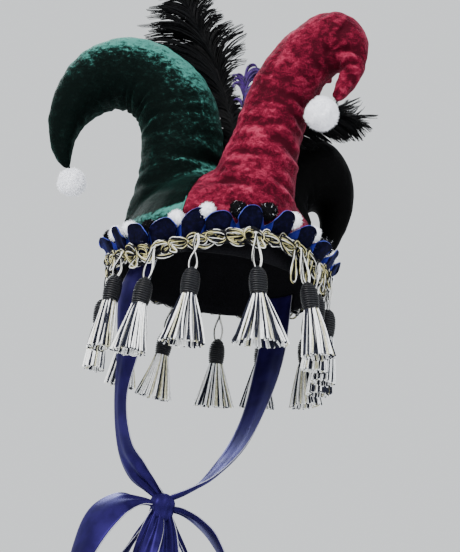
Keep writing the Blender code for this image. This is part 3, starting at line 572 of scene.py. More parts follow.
def joined(name, meshes):
    """One mesh from several, with their materials kept."""
    materials = []
    work = bmesh.new()
    for mesh in meshes:
        slots = []
        for material in mesh.materials:
            if material not in materials:
                materials.append(material)
            slots.append(materials.index(material))
        before = len(work.faces)
        work.from_mesh(mesh)
        work.faces.ensure_lookup_table()
        for index in range(before, len(work.faces)):
            face = work.faces[index]
            face.material_index = slots[face.material_index] if slots else 0
    result = bpy.data.meshes.new(name)
    work.to_mesh(result)
    work.free()
    for material in materials:
        result.materials.append(material)
    for mesh in meshes:
        bpy.data.meshes.remove(mesh)
    return result


def solidified(mesh, thickness, offset, name, rim=1, back=0):
    """The mesh with a wall. rim and back: how many material slots on from its face its edge and back are."""
    thing = new_object(name, mesh)
    wall = thing.modifiers.new("wall", "SOLIDIFY")
    wall.thickness = thickness
    wall.offset = offset
    wall.use_even_offset = True
    wall.material_offset_rim = rim
    wall.material_offset = back
    return evaluated_mesh(thing, name)


def poly_curves(name, paths, radii=None):
    """A curve object of open POLY splines through lists of points."""
    curve = bpy.data.curves.new(name, "CURVE")
    curve.dimensions = "3D"
    for index, path in enumerate(paths):
        spline = curve.splines.new("POLY")
        spline.points.add(len(path) - 1)
        flat = np.ones((len(path), 4))
        flat[:, :3] = path
        spline.points.foreach_set("co", flat.ravel())
        if radii is not None:
            spline.points.foreach_set("radius", np.asarray(radii[index], float))
    return new_object(name, curve)


def piece(name, mesh, slot, *nodes):
    """A finished piece that rides on the hat's body and stands for its CAD nodes."""
    mesh.name = name
    thing = new_object(name, mesh)
    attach(thing, "root")
    if nodes:
        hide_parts(*nodes)
    return thing


# Geometry Nodes trees

def new_tree(name, inputs):
    tree = bpy.data.node_groups.new(name, "GeometryNodeTree")
    for label, kind in inputs:
        tree.interface.new_socket(name=label, in_out="INPUT", socket_type=kind)
    tree.interface.new_socket(name="Geometry", in_out="OUTPUT", socket_type="NodeSocketGeometry")
    return tree, tree.nodes.new("NodeGroupInput").outputs, tree.nodes.new("NodeGroupOutput")


def add_node(tree, kind, inputs=(), **settings):
    """A node with its settings. Each input, by index or name, is a socket to link or a value to set."""
    node = tree.nodes.new(kind)
    for key, value in settings.items():
        setattr(node, key, value)
    for key, value in dict(inputs).items():
        if isinstance(value, bpy.types.NodeSocket):
            tree.links.new(value, node.inputs[key])
        else:
            node.inputs[key].default_value = value
    return node


def first_output(tree, kind, inputs=(), **settings):
    return add_node(tree, kind, inputs, **settings).outputs[0]


def maths(tree, operation, *inputs):
    return first_output(tree, "ShaderNodeMath", enumerate(inputs), operation=operation)


def vector_maths(tree, operation, *inputs):
    return first_output(tree, "ShaderNodeVectorMath", enumerate(inputs), operation=operation)


def scaled(tree, vector, factor):
    return first_output(tree, "ShaderNodeVectorMath", {0: vector, "Scale": factor}, operation="SCALE")


def run_tree(thing, tree, values, name):
    """The mesh that a Geometry Nodes tree makes of an object, with its inputs set by identifier."""
    modifier = thing.modifiers.new("nodes", "NODES")
    modifier.node_group = tree
    for item in tree.interface.items_tree:
        if item.item_type == "SOCKET" and item.in_out == "INPUT" and item.name in values:
            modifier[item.identifier] = values[item.name]
    thing.update_tag()
    return evaluated_mesh(thing, name)


def cord_tree():
    """Three plies twisted round each curve, each with its own material."""
    tree, given, target = new_tree("hat_cord", (
        ("Geometry", "NodeSocketGeometry"), ("Ply radius", "NodeSocketFloat"),
        ("Lay radius", "NodeSocketFloat"), ("Pitch", "NodeSocketFloat"), ("Step", "NodeSocketFloat"),
        ("Ply A", "NodeSocketMaterial"), ("Ply B", "NodeSocketMaterial"), ("Ply C", "NodeSocketMaterial"),
    ))
    even = first_output(tree, "GeometryNodeResampleCurve", {
        "Curve": given["Geometry"], "Length": given["Step"]}, mode="LENGTH")
    place = add_node(tree, "GeometryNodeSplineParameter")
    normal = first_output(tree, "GeometryNodeInputNormal")
    side = vector_maths(tree, "CROSS_PRODUCT", first_output(tree, "GeometryNodeInputTangent"), normal)
    turns = maths(tree, "DIVIDE", place.outputs["Length"], given["Pitch"])
    angle = maths(tree, "MULTIPLY", turns, 2 * math.pi)
    profile = first_output(tree, "GeometryNodeCurvePrimitiveCircle", {
        "Resolution": 4, "Radius": given["Ply radius"]})
    join = add_node(tree, "GeometryNodeJoinGeometry")
    for index, letter in enumerate("ABC"):
        turned = maths(tree, "ADD", angle, 2 * math.pi * index / 3)
        shifts = []
        for wave, axis in (("COSINE", normal), ("SINE", side)):
            reach = maths(tree, "MULTIPLY", maths(tree, wave, turned), given["Lay radius"])
            shifts.append(scaled(tree, axis, reach))
        ply = first_output(tree, "GeometryNodeSetPosition", {
            "Geometry": even, "Offset": vector_maths(tree, "ADD", *shifts)})
        skin = first_output(tree, "GeometryNodeCurveToMesh", {
            "Curve": ply, "Profile Curve": profile, "Fill Caps": True})
        shade = first_output(tree, "GeometryNodeSetMaterial", {
            "Geometry": skin, "Material": given["Ply " + letter]})
        tree.links.new(shade, join.inputs[0])
    smooth = first_output(tree, "GeometryNodeSetShadeSmooth", {"Geometry": join.outputs[0]})
    real = first_output(tree, "GeometryNodeRealizeInstances", {"Geometry": smooth})
    tree.links.new(real, target.inputs[0])
    return tree


def strand_tree():
    """A round strand along each curve, as thick as the curve's radius says."""
    tree, given, target = new_tree("hat_strands", (
        ("Geometry", "NodeSocketGeometry"), ("Sides", "NodeSocketInt"), ("Material", "NodeSocketMaterial"),
    ))
    radius = first_output(tree, "GeometryNodeInputRadius")
    profile = first_output(tree, "GeometryNodeCurvePrimitiveCircle", {
        "Radius": 1.0, "Resolution": given["Sides"]})
    skin = first_output(tree, "GeometryNodeCurveToMesh", {
        "Fill Caps": True, "Curve": given["Geometry"], "Profile Curve": profile, "Scale": radius})
    smooth = first_output(tree, "GeometryNodeSetShadeSmooth", {"Geometry": skin})
    real = first_output(tree, "GeometryNodeRealizeInstances", {"Geometry": smooth})
    shade = first_output(tree, "GeometryNodeSetMaterial", {"Geometry": real, "Material": given["Material"]})
    tree.links.new(shade, target.inputs[0])
    return tree


def fuzz_tree():
    """Short tapered fibres that stand on a mesh's faces, tilted at random."""
    tree, given, target = new_tree("hat_fuzz", (
        ("Geometry", "NodeSocketGeometry"), ("Density", "NodeSocketFloat"), ("Length", "NodeSocketFloat"),
        ("Width", "NodeSocketFloat"), ("Tilt", "NodeSocketFloat"), ("Seed", "NodeSocketInt"),
        ("Material", "NodeSocketMaterial"),
    ))
    spots = add_node(tree, "GeometryNodeDistributePointsOnFaces", {
        "Mesh": given["Geometry"], "Density": given["Density"], "Seed": given["Seed"]},
        distribute_method="RANDOM").outputs
    fibre = first_output(tree, "GeometryNodeMeshCone", {
        "Vertices": 3, "Radius Bottom": maths(tree, "MULTIPLY", given["Width"], 0.5),
        "Depth": given["Length"]}, fill_type="NONE")
    wander = first_output(tree, "FunctionNodeRandomValue", {
        0: (-1, -1, -1), 1: (1, 1, 1), "Seed": given["Seed"]}, data_type="FLOAT_VECTOR")
    heading = vector_maths(tree, "ADD", spots["Normal"], scaled(tree, wander, given["Tilt"]))
    turn = first_output(tree, "FunctionNodeAlignRotationToVector", {"Vector": heading}, axis="Z")
    size = add_node(tree, "FunctionNodeRandomValue", {2: 0.55, 3: 1.25, "Seed": given["Seed"]},
                    data_type="FLOAT").outputs["Value"]
    put = first_output(tree, "GeometryNodeInstanceOnPoints", {
        "Points": spots["Points"], "Instance": fibre, "Rotation": turn, "Scale": size})
    real = first_output(tree, "GeometryNodeRealizeInstances", {"Geometry": put})
    shade = first_output(tree, "GeometryNodeSetMaterial", {"Geometry": real, "Material": given["Material"]})
    tree.links.new(shade, target.inputs[0])
    return tree


def tree_named(name, build):
    return bpy.data.node_groups.get(name) or build()


def cord_mesh(name, paths, materials, ply, lay, step, pitch=CORD_PITCH):
    """Cords of three plies along paths in metres; ply and lay radius, step and pitch are in mm."""
    values = {"Ply radius": ply * MM, "Lay radius": lay * MM, "Pitch": pitch * MM, "Step": step * MM}
    values.update(zip(("Ply A", "Ply B", "Ply C"), materials))
    return run_tree(poly_curves(name, paths), tree_named("hat_cord", cord_tree), values, name)


def strand_mesh(name, paths, radii, sides, material):
    values = {"Sides": sides, "Material": material}
    return run_tree(poly_curves(name, paths, radii), tree_named("hat_strands", strand_tree), values, name)


def fuzz_mesh(base, density, length, width, tilt, seed, material):
    """Fibres on a copy of a mesh, in metres; density is per square metre."""
    thing = new_object("fuzz_base", base.copy())
    values = {"Density": density, "Length": length, "Width": width, "Tilt": tilt, "Seed": seed,
              "Material": material}
    return run_tree(thing, tree_named("hat_fuzz", fuzz_tree), values, "fuzz")


# Shader groups and materials

def shader_group(name, inputs):
    tree = bpy.data.node_groups.new(name, "ShaderNodeTree")
    for label, kind, value in inputs:
        socket = tree.interface.new_socket(name=label, in_out="INPUT", socket_type=kind)
        socket.default_value = value
    for label, kind in (("Color", "NodeSocketColor"), ("Height", "NodeSocketFloat")):
        tree.interface.new_socket(name=label, in_out="OUTPUT", socket_type=kind)
    return tree, tree.nodes.new("NodeGroupInput").outputs, tree.nodes.new("NodeGroupOutput")


def mix_colour(tree, factor, low, high):
    return add_node(tree, "ShaderNodeMix", {0: factor, 6: low, 7: high}, data_type="RGBA").outputs[2]


def stretch(tree, value, low, high):
    """The value with LOW..HIGH stretched smoothly to 0..1."""
    return first_output(tree, "ShaderNodeMapRange", {0: value, 1: low, 2: high},
                        interpolation_type="SMOOTHSTEP")


def noise(tree, vector, scale, detail=2.0, roughness=0.5, distortion=0.0):
    return first_output(tree, "ShaderNodeTexNoise", {
        "Vector": vector, "Scale": scale, "Detail": detail, "Roughness": roughness,
        "Distortion": distortion})


def attribute(tree, name):
    return add_node(tree, "ShaderNodeAttribute", attribute_type="GEOMETRY",
                    attribute_name=name).outputs["Fac"]


def velvet_group():
    """Crushed nap: patches where the pile lies over, a painted highlight on faces that look up, painted light
    on fold crests and painted shade in fold hollows, and the patches' height.
    """
    tree, given, target = shader_group("hat_velvet_nap_and_painted_light", (
        ("Deep", "NodeSocketColor", (0, 0, 0, 1)), ("Body", "NodeSocketColor", (0.1, 0.1, 0.1, 1)),
        ("Light", "NodeSocketColor", (0.5, 0.5, 0.5, 1)), ("Scale", "NodeSocketFloat", 60.0),
        ("Light share", "NodeSocketFloat", 0.6), ("Upward share", "NodeSocketFloat", 0.3),
        ("Lift", "NodeSocketFloat", 0.0), ("Broad share", "NodeSocketFloat", 0.0),
        ("Ridge share", "NodeSocketFloat", 0.1),
    ))
    coords = add_node(tree, "ShaderNodeTexCoord").outputs
    squash = first_output(tree, "ShaderNodeMapping", {0: coords["Object"], "Scale": (1.0, 1.0, 1.45)})
    large = noise(tree, squash, given["Scale"], 3.0, 0.62, 0.5)
    small = noise(tree, squash, maths(tree, "MULTIPLY", given["Scale"], 5.3), 2.0, 0.7, 0.4)
    patches = maths(tree, "MULTIPLY_ADD", small, 0.62, large)
    # Painted highlight: faces whose normal looks up are lightened as if lit from above, scaled by the mesh's
    # top light mask.
    up = add_node(tree, "ShaderNodeSeparateXYZ", {0: coords["Normal"]}).outputs["Z"]
    painted_top_light = maths(tree, "MULTIPLY", stretch(tree, up, -0.25, 0.85), given["Upward share"])
    lifted = maths(tree, "MULTIPLY_ADD", painted_top_light, attribute(tree, "top_light_mask"), patches)
    # Painted light and shade of the folds: crests lighter, hollows darker.
    fold_shaded = maths(tree, "MULTIPLY_ADD", attribute(tree, "painted_fold_shade"), given["Ridge share"], lifted)
    wide = stretch(tree, noise(tree, coords["Object"], 16.0, 1.0), 0.3, 0.7)
    broad = maths(tree, "MULTIPLY_ADD", wide, given["Broad share"], given["Lift"])
    raised = maths(tree, "ADD", fold_shaded, broad)
    # Low values take the deep shade and high ones the light shade: painted shade and painted highlight where
    # the fold and top light terms set them, random crush elsewhere.
    body = mix_colour(tree, stretch(tree, raised, 0.66, 1.0), given["Deep"], given["Body"])
    lit = maths(tree, "MULTIPLY", stretch(tree, raised, 0.9, 1.26), given["Light share"])
    tree.links.new(mix_colour(tree, lit, body, given["Light"]), target.inputs["Color"])
    tree.links.new(patches, target.inputs["Height"])
    return tree


def thread_group():
    """Spun fibre: fine streaks between two shades, and their height."""
    tree, given, target = shader_group("hat_thread", (
        ("Dark", "NodeSocketColor", (0, 0, 0, 1)), ("Light", "NodeSocketColor", (0.5, 0.5, 0.5, 1)),
        ("Scale", "NodeSocketFloat", 900.0),
    ))
    coords = add_node(tree, "ShaderNodeTexCoord").outputs
    fine = noise(tree, coords["Object"], given["Scale"], 2.0, 0.6, 0.4)
    shade = mix_colour(tree, stretch(tree, fine, 0.32, 0.66), given["Dark"], given["Light"])
    tree.links.new(shade, target.inputs["Color"])
    tree.links.new(fine, target.inputs["Height"])
    return tree


def ribbon_group():
    """Woven ribbon by its UV map: fine warp lines, soft cross ripples and a paler selvedge."""
    tree, given, target = shader_group("hat_ribbon_weave", (
        ("Deep", "NodeSocketColor", (0, 0, 0, 1)), ("Body", "NodeSocketColor", (0.1, 0.1, 0.1, 1)),
        ("Selvedge", "NodeSocketColor", (0.3, 0.3, 0.6, 1)), ("Edge share", "NodeSocketFloat", 0.03),
    ))
    coords = add_node(tree, "ShaderNodeTexCoord").outputs
    warp = first_output(tree, "ShaderNodeMapping", {0: coords["UV"], "Scale": (150, 900, 1)})
    lines = noise(tree, warp, 1.0, 1.0)
    soft = noise(tree, coords["Object"], 70.0, 2.0)
    body = mix_colour(tree, stretch(tree, soft, 0.35, 0.65), given["Deep"], given["Body"])
    across = first_output(tree, "ShaderNodeSeparateXYZ", {0: coords["UV"]})
    away = maths(tree, "ABSOLUTE", maths(tree, "SUBTRACT", across, 0.5))
    edge = maths(tree, "GREATER_THAN", away, maths(tree, "SUBTRACT", 0.5, given["Edge share"]))
    tree.links.new(mix_colour(tree, edge, body, given["Selvedge"]), target.inputs["Color"])
    tree.links.new(maths(tree, "MULTIPLY_ADD", lines, 0.35, edge), target.inputs["Height"])
    return tree


def new_material(name, group, values, roughness, bump, depth, **sockets):
    """A Principled material fed by a shader group; constants go straight onto the shader's sockets.

    The second of the group's values is the material's main colour.
    """
    found = bpy.data.materials.get(name)
    if found:
        return found
    material = bpy.data.materials.new(name)
    material.use_nodes = True
    tree = material.node_tree
    shader = tree.nodes["Principled BSDF"]
    shader.inputs["Roughness"].default_value = roughness
    for label, value in sockets.items():
        shader.inputs[label.replace("_", " ").title().replace("Ior", "IOR")].default_value = value
    detail = add_node(tree, "ShaderNodeGroup", node_tree=group)
    for label, value in values.items():
        detail.inputs[label].default_value = value
    relief = first_output(tree, "ShaderNodeBump", {
        "Strength": bump, "Distance": depth, "Height": detail.outputs["Height"]})
    tree.links.new(detail.outputs["Color"], shader.inputs["Base Color"])
    tree.links.new(relief, shader.inputs["Normal"])
    material.diffuse_color = list(values.values())[1]
    return material


def rgb(values):
    return (*tuple(values)[:3], 1.0)


def velvet(name, deep, body, light, scale, share, painted_top_light, tint, lift=0.0, broad=0.0, painted_fold_shade=0.1,
           sheen=0.3, sheen_roughness=0.3, bump=0.8):
    """Velvet in three shades. share: how light it gets. What lightens it: the top light share paints a
    highlight on faces that look up, broad adds a random broad tone, and the fold share paints light on fold
    crests and shade in fold hollows.
    """
    return new_material(
        name, tree_named("hat_velvet_nap_and_painted_light", velvet_group),
        {"Deep": rgb(deep), "Body": rgb(body), "Light": rgb(light), "Scale": scale, "Light share": share,
         "Upward share": painted_top_light, "Lift": lift, "Broad share": broad, "Ridge share": painted_fold_shade},
        roughness=0.7, bump=bump, depth=0.0014, sheen_weight=sheen, sheen_roughness=sheen_roughness,
        sheen_tint=rgb(tint), specular_ior_level=0.03)


def thread(name, dark, light, scale=900.0, roughness=0.65, sheen=0.0, gloss=0.3, bump=0.5, depth=0.0004,
           **sockets):
    """Spun or woven fibre in two shades."""
    return new_material(
        name, tree_named("hat_thread", thread_group),
        {"Dark": rgb(dark), "Light": rgb(light), "Scale": scale}, roughness=roughness, bump=bump, depth=depth,
        sheen_weight=sheen, sheen_roughness=0.5, specular_ior_level=gloss, **sockets)


def cord_materials():
    return (
        thread("cord_white", (0.5, 0.5, 0.5), (0.8, 0.8, 0.76), roughness=0.45),
        thread("cord_black", (0.002, 0.002, 0.003), (0.008, 0.008, 0.011), roughness=0.45, gloss=0.08),
        thread("cord_cream", (0.3, 0.27, 0.1), (0.56, 0.51, 0.25), roughness=0.45),
    )


def satin(name, body, deep_share, body_share=1):
    """Ribbon satin, with its deep and main shades as shares of one colour."""
    return new_material(
        name, tree_named("hat_ribbon_weave", ribbon_group),
        {"Deep": rgb([value * deep_share for value in body]),
         "Body": rgb([value * body_share for value in body]),
         "Selvedge": rgb((0.3, 0.3, 0.34)), "Edge share": 0.018},
        roughness=0.4, bump=0.05, depth=0.0004, anisotropic=0.5, metallic=0.4,
        specular_tint=rgb((0.2, 0.2, 0.8)), specular_ior_level=0.12)


# Horns

def line_frames(table):
    """The centre line's points, arc lengths and across directions, closely spaced, in metres."""
    dense = smooth_line(table, 10)
    centres = dense[:, :3] * MM
    lean = np.radians(column_of(dense, LINE_COLUMNS, "lean"))
    across = np.stack([np.cos(lean), np.zeros(len(lean)), -np.sin(lean)], axis=1)
    return centres, arc_lengths(centres), across


def nearest_on_line(points, centres):
    """For each point, the index of the centre-line point nearest to it."""
    result = np.zeros(len(points), int)
    for start in range(0, len(points), 4000):
        block = points[start:start + 4000]
        gaps = ((block[:, None, :] - centres[None, :, :]) ** 2).sum(axis=2)
        result[start:start + 4000] = gaps.argmin(axis=1)
    return result


def fold_depths(points, table, folds, seed):
    """How far folds and seams push each point in, in metres, and its place in mm along and round the horn."""
    centres, lengths, across = line_frames(table)
    index = nearest_on_line(points, centres)
    away = points - centres[index]
    side = (away * across[index]).sum(axis=1)
    angle = np.degrees(np.arctan2(away[:, 1], side))
    ahead = np.gradient(centres, axis=0)
    ahead /= np.linalg.norm(ahead, axis=1)[:, None]
    place = (lengths[index] + (away * ahead[index]).sum(axis=1)) / MM
    depth = np.zeros(len(points))
    meander = waves(points, 0.03, seed) * FOLD_MEANDER
    for row in rows_of(folds, FOLD_COLUMNS):
        turn = (angle - row["angle"] + 180) % 360 - 180
        window = np.clip(np.cos(np.radians(np.clip(turn / row["reach"] * 90, -90, 90))), 0, 1) ** 1.3
        distance = (place + meander - row["place"] - row["slant"] * turn / 90) / row["width"]
        shoulder = np.exp(-(np.abs(distance) - FOLD_SHOULDER_PLACE) ** 2)
        depth += row["depth"] * window * (np.exp(-distance ** 2) - FOLD_SHOULDER * shoulder)
    for start, end, home, sunk in SEAMS:
        turn = (angle - home + 180) % 360 - 180
        gap = np.radians(turn) * np.linalg.norm(away, axis=1) / MM
        ends = np.clip((place - start) / SEAM_END, 0, 1) * np.clip((end - place) / SEAM_END, 0, 1)
        depth += sunk * ends * np.exp(-(gap / SEAM_HALF_WIDTH) ** 2) * (np.abs(turn) < 60)
    return depth * MM, place, angle


def cap_share(points):
    """How far each point lies out from the cap's middle, where 1 is the cap's outer face."""
    return np.sqrt((points[:, 0] / CAP_HALF_WIDTH) ** 2 + (points[:, 1] / CAP_HALF_DEPTH) ** 2
                   + (np.maximum(points[:, 2], 0) / CAP_HEIGHT) ** 2)


def pin_weights(points):
    """1 on the foot of a horn, where it is sewn to the cap, and 0 above it."""
    sewn = (points[:, 2] / MM < SEWN_HEIGHT) | (cap_share(points) < SEWN_SHARE)
    return np.where(sewn, 1.0, 0.0)


def inflate(thing, cap, frames=20):
    """Blows a closed mesh up with Cloth pressure, its foot pinned, and moves no point further than CAP."""
    mesh = thing.data
    start = coordinates(mesh)
    group = thing.vertex_groups.new(name="foot")
    group.add(np.nonzero(pin_weights(start) > 0.5)[0].tolist(), 1.0, "REPLACE")
    cloth = thing.modifiers.new("stuffing", "CLOTH")
    cloth.settings.quality = 4
    cloth.settings.mass = 0.3
    cloth.settings.use_pressure = True
    cloth.settings.uniform_pressure_force = 4
    cloth.settings.effector_weights.gravity = 0
    cloth.settings.vertex_group_mass = "foot"
    cloth.collision_settings.use_collision = False
    scene = bpy.context.scene
    for step in range(1, frames + 1):
        scene.frame_set(step)
    depsgraph = bpy.context.evaluated_depsgraph_get()
    moved = bpy.data.meshes.new_from_object(thing.evaluated_get(depsgraph), depsgraph=depsgraph)
    shift = coordinates(moved) - start
    bpy.data.meshes.remove(moved)
    thing.modifiers.remove(cloth)
    scene.frame_set(1)
    length = np.maximum(np.linalg.norm(shift, axis=1), 1e-9)
    set_coordinates(mesh, start + shift * np.minimum(1, cap / length)[:, None])


def soften(mesh, rounds, keep):
    """Moves each vertex towards the mean of its neighbours; KEEP says how much of it stays, 0 to 1."""
    points = coordinates(mesh)
    ends = np.zeros(len(mesh.edges) * 2, int)
    mesh.edges.foreach_get("vertices", ends)
    ends = ends.reshape(-1, 2)
    count = np.bincount(ends.ravel(), minlength=len(points)).astype(float)
    for _ in range(rounds):
        total = np.zeros_like(points)
        for axis in range(3):
            total[:, axis] = (np.bincount(ends[:, 0], points[ends[:, 1], axis], len(points))
                              + np.bincount(ends[:, 1], points[ends[:, 0], axis], len(points)))
        points += (total / count[:, None] - points) * 0.5 * (1 - keep)[:, None]
    set_coordinates(mesh, points)


def top_light_mask_of(node, points):
    """How strong the painted top light is at each point: 0 where it is held off, 1 elsewhere, more on the lit
    foot band.
    """
    if node not in TOP_LIGHT_LINES:
        return np.ones(len(points))
    places, heights = zip(*TOP_LIGHT_LINES[node])
    below = (np.interp(points[:, 0], places, heights) - points[:, 2]) / TOP_LIGHT_LINE_BLUR + 0.5
    above = (points[:, 2] - TOP_LIGHT_HELD_OFF_TO) / TOP_LIGHT_RETURN
    return np.maximum(FOOT_TOP_LIGHT * np.clip(below, 0, 1), np.clip(above, 0, 1))


def stuffed_horn(node, table, folds, voxel, swell, crush, wrinkle, seed):
    """The horn's cloth, from its CAD solid: remeshed, blown up, subdivided, then folded and crushed."""
    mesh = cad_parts[node].data.copy()
    mesh.materials.clear()
    points = coordinates(mesh)
    inner = cap_share(points) < PANEL_INNER_SHARE
    points[inner] *= PANEL_BACKING
    set_coordinates(mesh, points)
    thing = new_object("horn_base", mesh)
    remesh = thing.modifiers.new("remesh", "REMESH")
    remesh.mode = "VOXEL"
    remesh.voxel_size = voxel
    thing = new_object("horn_cloth", evaluated_mesh(thing, "horn_cloth"))
    held = pin_weights(coordinates(thing.data)) * SEWN_HOLD
    soften(thing.data, 3, held)
    inflate(thing, swell)
    soften(thing.data, 3, held)
    finer = thing.modifiers.new("finer", "SUBSURF")
    finer.levels = 1
    mesh = evaluated_mesh(thing, node + "_cloth")
    points = coordinates(mesh)
    depth, place, angle = fold_depths(points, table, folds, seed)
    angle = np.radians(angle)
    unrolled = np.stack([place * MM, WRINKLE_RADIUS * np.cos(angle), WRINKLE_RADIUS * np.sin(angle)], axis=1)
    broad, fine = waves(points, BROAD_RIPPLE, seed + 1), waves(points, FINE_RIPPLE, seed + 2)
    ripple = (broad * 0.5 + fine * 0.35) * crush + waves(unrolled, WRINKLE, seed + 3) * wrinkle
    free = 1 - pin_weights(points) * SEWN_HOLD
    points = points + normals_of(mesh) * ((ripple - depth) * free)[:, None]
    # Painted light and shade from the folds: ripple crests come out lighter and fold hollows darker in the
    # velvet's colour.
    painted_fold_shade = np.clip(ripple / MM * 0.9 - depth / MM * 0.55, -1.6, 1.3)
    # Two point attributes for the velvet's colour: where the painted top highlight may show, and the painted
    # light and shade of the folds.
    for label, values in (("top_light_mask", top_light_mask_of(node, points)), ("painted_fold_shade", painted_fold_shade)):
        mesh.attributes.new(label, "FLOAT", "POINT").data.foreach_set("value", values)
    share = cap_share(points)
    sunk = share < PANEL_INNER_SHARE
    points[sunk] *= (PANEL_INNER_SHARE / share[sunk])[:, None]
    set_coordinates(mesh, points)
    mesh.shade_smooth()
    return mesh


class JESTERHAT_OT_horns(bpy.types.Operator):
    """Make the three stuffed velvet horns"""
    bl_idname = "jester_hat.horns"
    bl_label = "Horns"

    def execute(self, context):
        colours, sizes = context.scene.jester_hat_colours, context.scene.jester_hat_sizes
        green = velvet("green_crushed_velvet", colours.green_dark, colours.green_body, colours.green_light,
                       scale=230.0, share=0.8, painted_top_light=0.62, tint=(0.2, 1.0, 0.8), lift=-0.2, broad=0.06,
                       painted_fold_shade=0.06, sheen=0.07, sheen_roughness=0.14)
        red = velvet("red_crushed_velvet", colours.red_dark, colours.red_body, colours.red_light,
                     scale=170.0, share=0.75, painted_top_light=0.22, tint=(1.0, 0.25, 0.4), lift=-0.08, broad=0.14,
                     painted_fold_shade=0.17, sheen=0.35, sheen_roughness=0.2)
        black = velvet("black_plain_velvet", (0.0002, 0.0002, 0.0003), (0.0005, 0.0005, 0.0006),
                       (0.0035, 0.0035, 0.0042), scale=110.0, share=0.6, painted_top_light=0.25,
                       tint=(0.3, 0.3, 0.35), lift=-0.05, sheen=0.08, bump=0.4)
        for name, table, folds, cloth, crush, wrinkle, seed in (
                ("green", GREEN_LINE, GREEN_FOLDS, green, 0.5 * MM, 0.35 * MM, 11),
                ("red", RED_LINE, RED_FOLDS, red, 0.9 * MM, 0.55 * MM, 23),
                ("black", BLACK_LINE, BLACK_FOLDS, black, 0.3 * MM, 0.2 * MM, 37)):
            node = "horn_" + name
            mesh = stuffed_horn(node, table, folds, sizes.velvet_voxel, sizes.swell, crush, wrinkle, seed)
            mesh.materials.append(cloth)
            piece(node + "_velvet", mesh, name + "_velvet", node)
        return {"FINISHED"}


# Cap lining

def lining_point(segment, share):
    """A point of the lining's outer face; SHARE goes from 0 at its edge to 1 near the crown's middle."""
    angle = 2 * math.pi * segment / LINING_SEGMENTS
    if share < LINING_BAND_SHARE:
        z, shrink = CAP_RIM_Z * (1 - share / LINING_BAND_SHARE), 1.0
    else:
        rise = (share - LINING_BAND_SHARE) / (1 - LINING_BAND_SHARE) * math.pi / 2 * 0.985
        z, shrink = (CAP_HEIGHT - LINING_TOP_INSET * MM) * math.sin(rise), math.cos(rise)
    seam = abs((segment / LINING_SEGMENTS * LINING_SEAMS + 0.5) % 1 - 0.5) * 2
    pinch = LINING_PINCH * math.exp(-(seam / 0.07) ** 2) * min(1, share * 4)
    crease = LINING_CREASE * math.sin(9 * angle + 5 * share) * math.sin(4 * angle + 2) * shrink
    hem = LINING_HEM if z < LINING_HEM_TOP * MM else 0.0
    inset = (LINING_INSET + pinch + abs(crease) - hem) * MM
    return ((CAP_HALF_WIDTH - inset) * shrink * math.cos(angle),
            (CAP_HALF_DEPTH - inset) * shrink * math.sin(angle), z)


def lining_mesh():
    grid = np.array([[lining_point(segment, ring / (LINING_RINGS - 1)) for segment in range(LINING_SEGMENTS)]
                     for ring in range(LINING_RINGS)])
    mesh = grid_mesh("lining", grid, closed_u=True,
                     uv=lambda r, c: (c / LINING_SEGMENTS * 14, r / LINING_RINGS * 4))
    work = bmesh.new()
    work.from_mesh(mesh)
    work.verts.ensure_lookup_table()
    last = work.verts[-LINING_SEGMENTS:]
    centre = work.verts.new((0, 0, CAP_HEIGHT - LINING_TOP_INSET * MM))
    for near, far in zip(last, last[1:] + last[:1]):
        work.faces.new((near, far, centre))
    bmesh.ops.recalc_face_normals(work, faces=work.faces)
    work.to_mesh(mesh)
    work.free()
    mesh.shade_smooth()
    return mesh


class JESTERHAT_OT_lining(bpy.types.Operator):
    """Make the cap's black cotton lining, with its panel seams, hem and soft creases"""
    bl_idname = "jester_hat.lining"
    bl_label = "Lining"

    def execute(self, context):
        mesh = lining_mesh()
        mesh.materials.append(thread(
            "black_cotton", (0.0025, 0.0025, 0.003), (0.008, 0.008, 0.01), scale=1400.0, roughness=0.95,
            gloss=0.04, depth=0.0005))
        mesh = solidified(mesh, LINING_THICKNESS * MM, -1, "lining", rim=0)
        piece("cap_lining_cloth", mesh, "black_lining",
              "cap_lining_left", "cap_lining_front", "cap_lining_right")
        return {"FINISHED"}


# Pompoms

def wool_ball(radius, seed, subdivisions=4):
    """A lumpy ball of cut wool, in metres."""
    work = bmesh.new()
    bmesh.ops.create_icosphere(work, subdivisions=subdivisions, radius=radius)
    mesh = bpy.data.meshes.new("wool_ball")
    work.to_mesh(mesh)
    work.free()
    points = coordinates(mesh)
    heading = points / radius
    lumps = 1 + 0.045 * waves(heading, 0.9, seed) + 0.04 * waves(heading, 0.35, seed + 1)
    set_coordinates(mesh, points * lumps[:, None])
    mesh.shade_smooth()
    return mesh


def white_wool(colours):
    body = tuple(colours.white_wool)
    return thread("white_wool", [value * 0.92 for value in body], body, scale=420.0, roughness=0.9, sheen=0.3)


class JESTERHAT_OT_tip_pompoms(bpy.types.Operator):
    """Make the white wool pompom at each horn's tip"""
    bl_idname = "jester_hat.tip_pompoms"
    bl_label = "Tip pompoms"

    def execute(self, context):
        colours, sizes = context.scene.jester_hat_colours, context.scene.jester_hat_sizes
        wool = white_wool(colours)
        for seed, (name, radius) in enumerate(TIP_POMPOMS.items()):
            low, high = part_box("tip_pompom_" + name)
            ball = wool_ball(radius * MM * 0.93, 50 + seed)
            ball.materials.append(wool)
            fuzz = fuzz_mesh(ball, TIP_FIBRE_DENSITY, sizes.wool_length, FIBRE_WIDTH, FIBRE_TILT, 5 + seed,
                             wool)
            mesh = joined("tip_pompom", [ball, fuzz])
            mesh.transform(Matrix.Translation((low + high) / 2))
            piece("tip_pompom_%s_wool" % name, mesh, "white_wool", "tip_pompom_" + name)
        return {"FINISHED"}


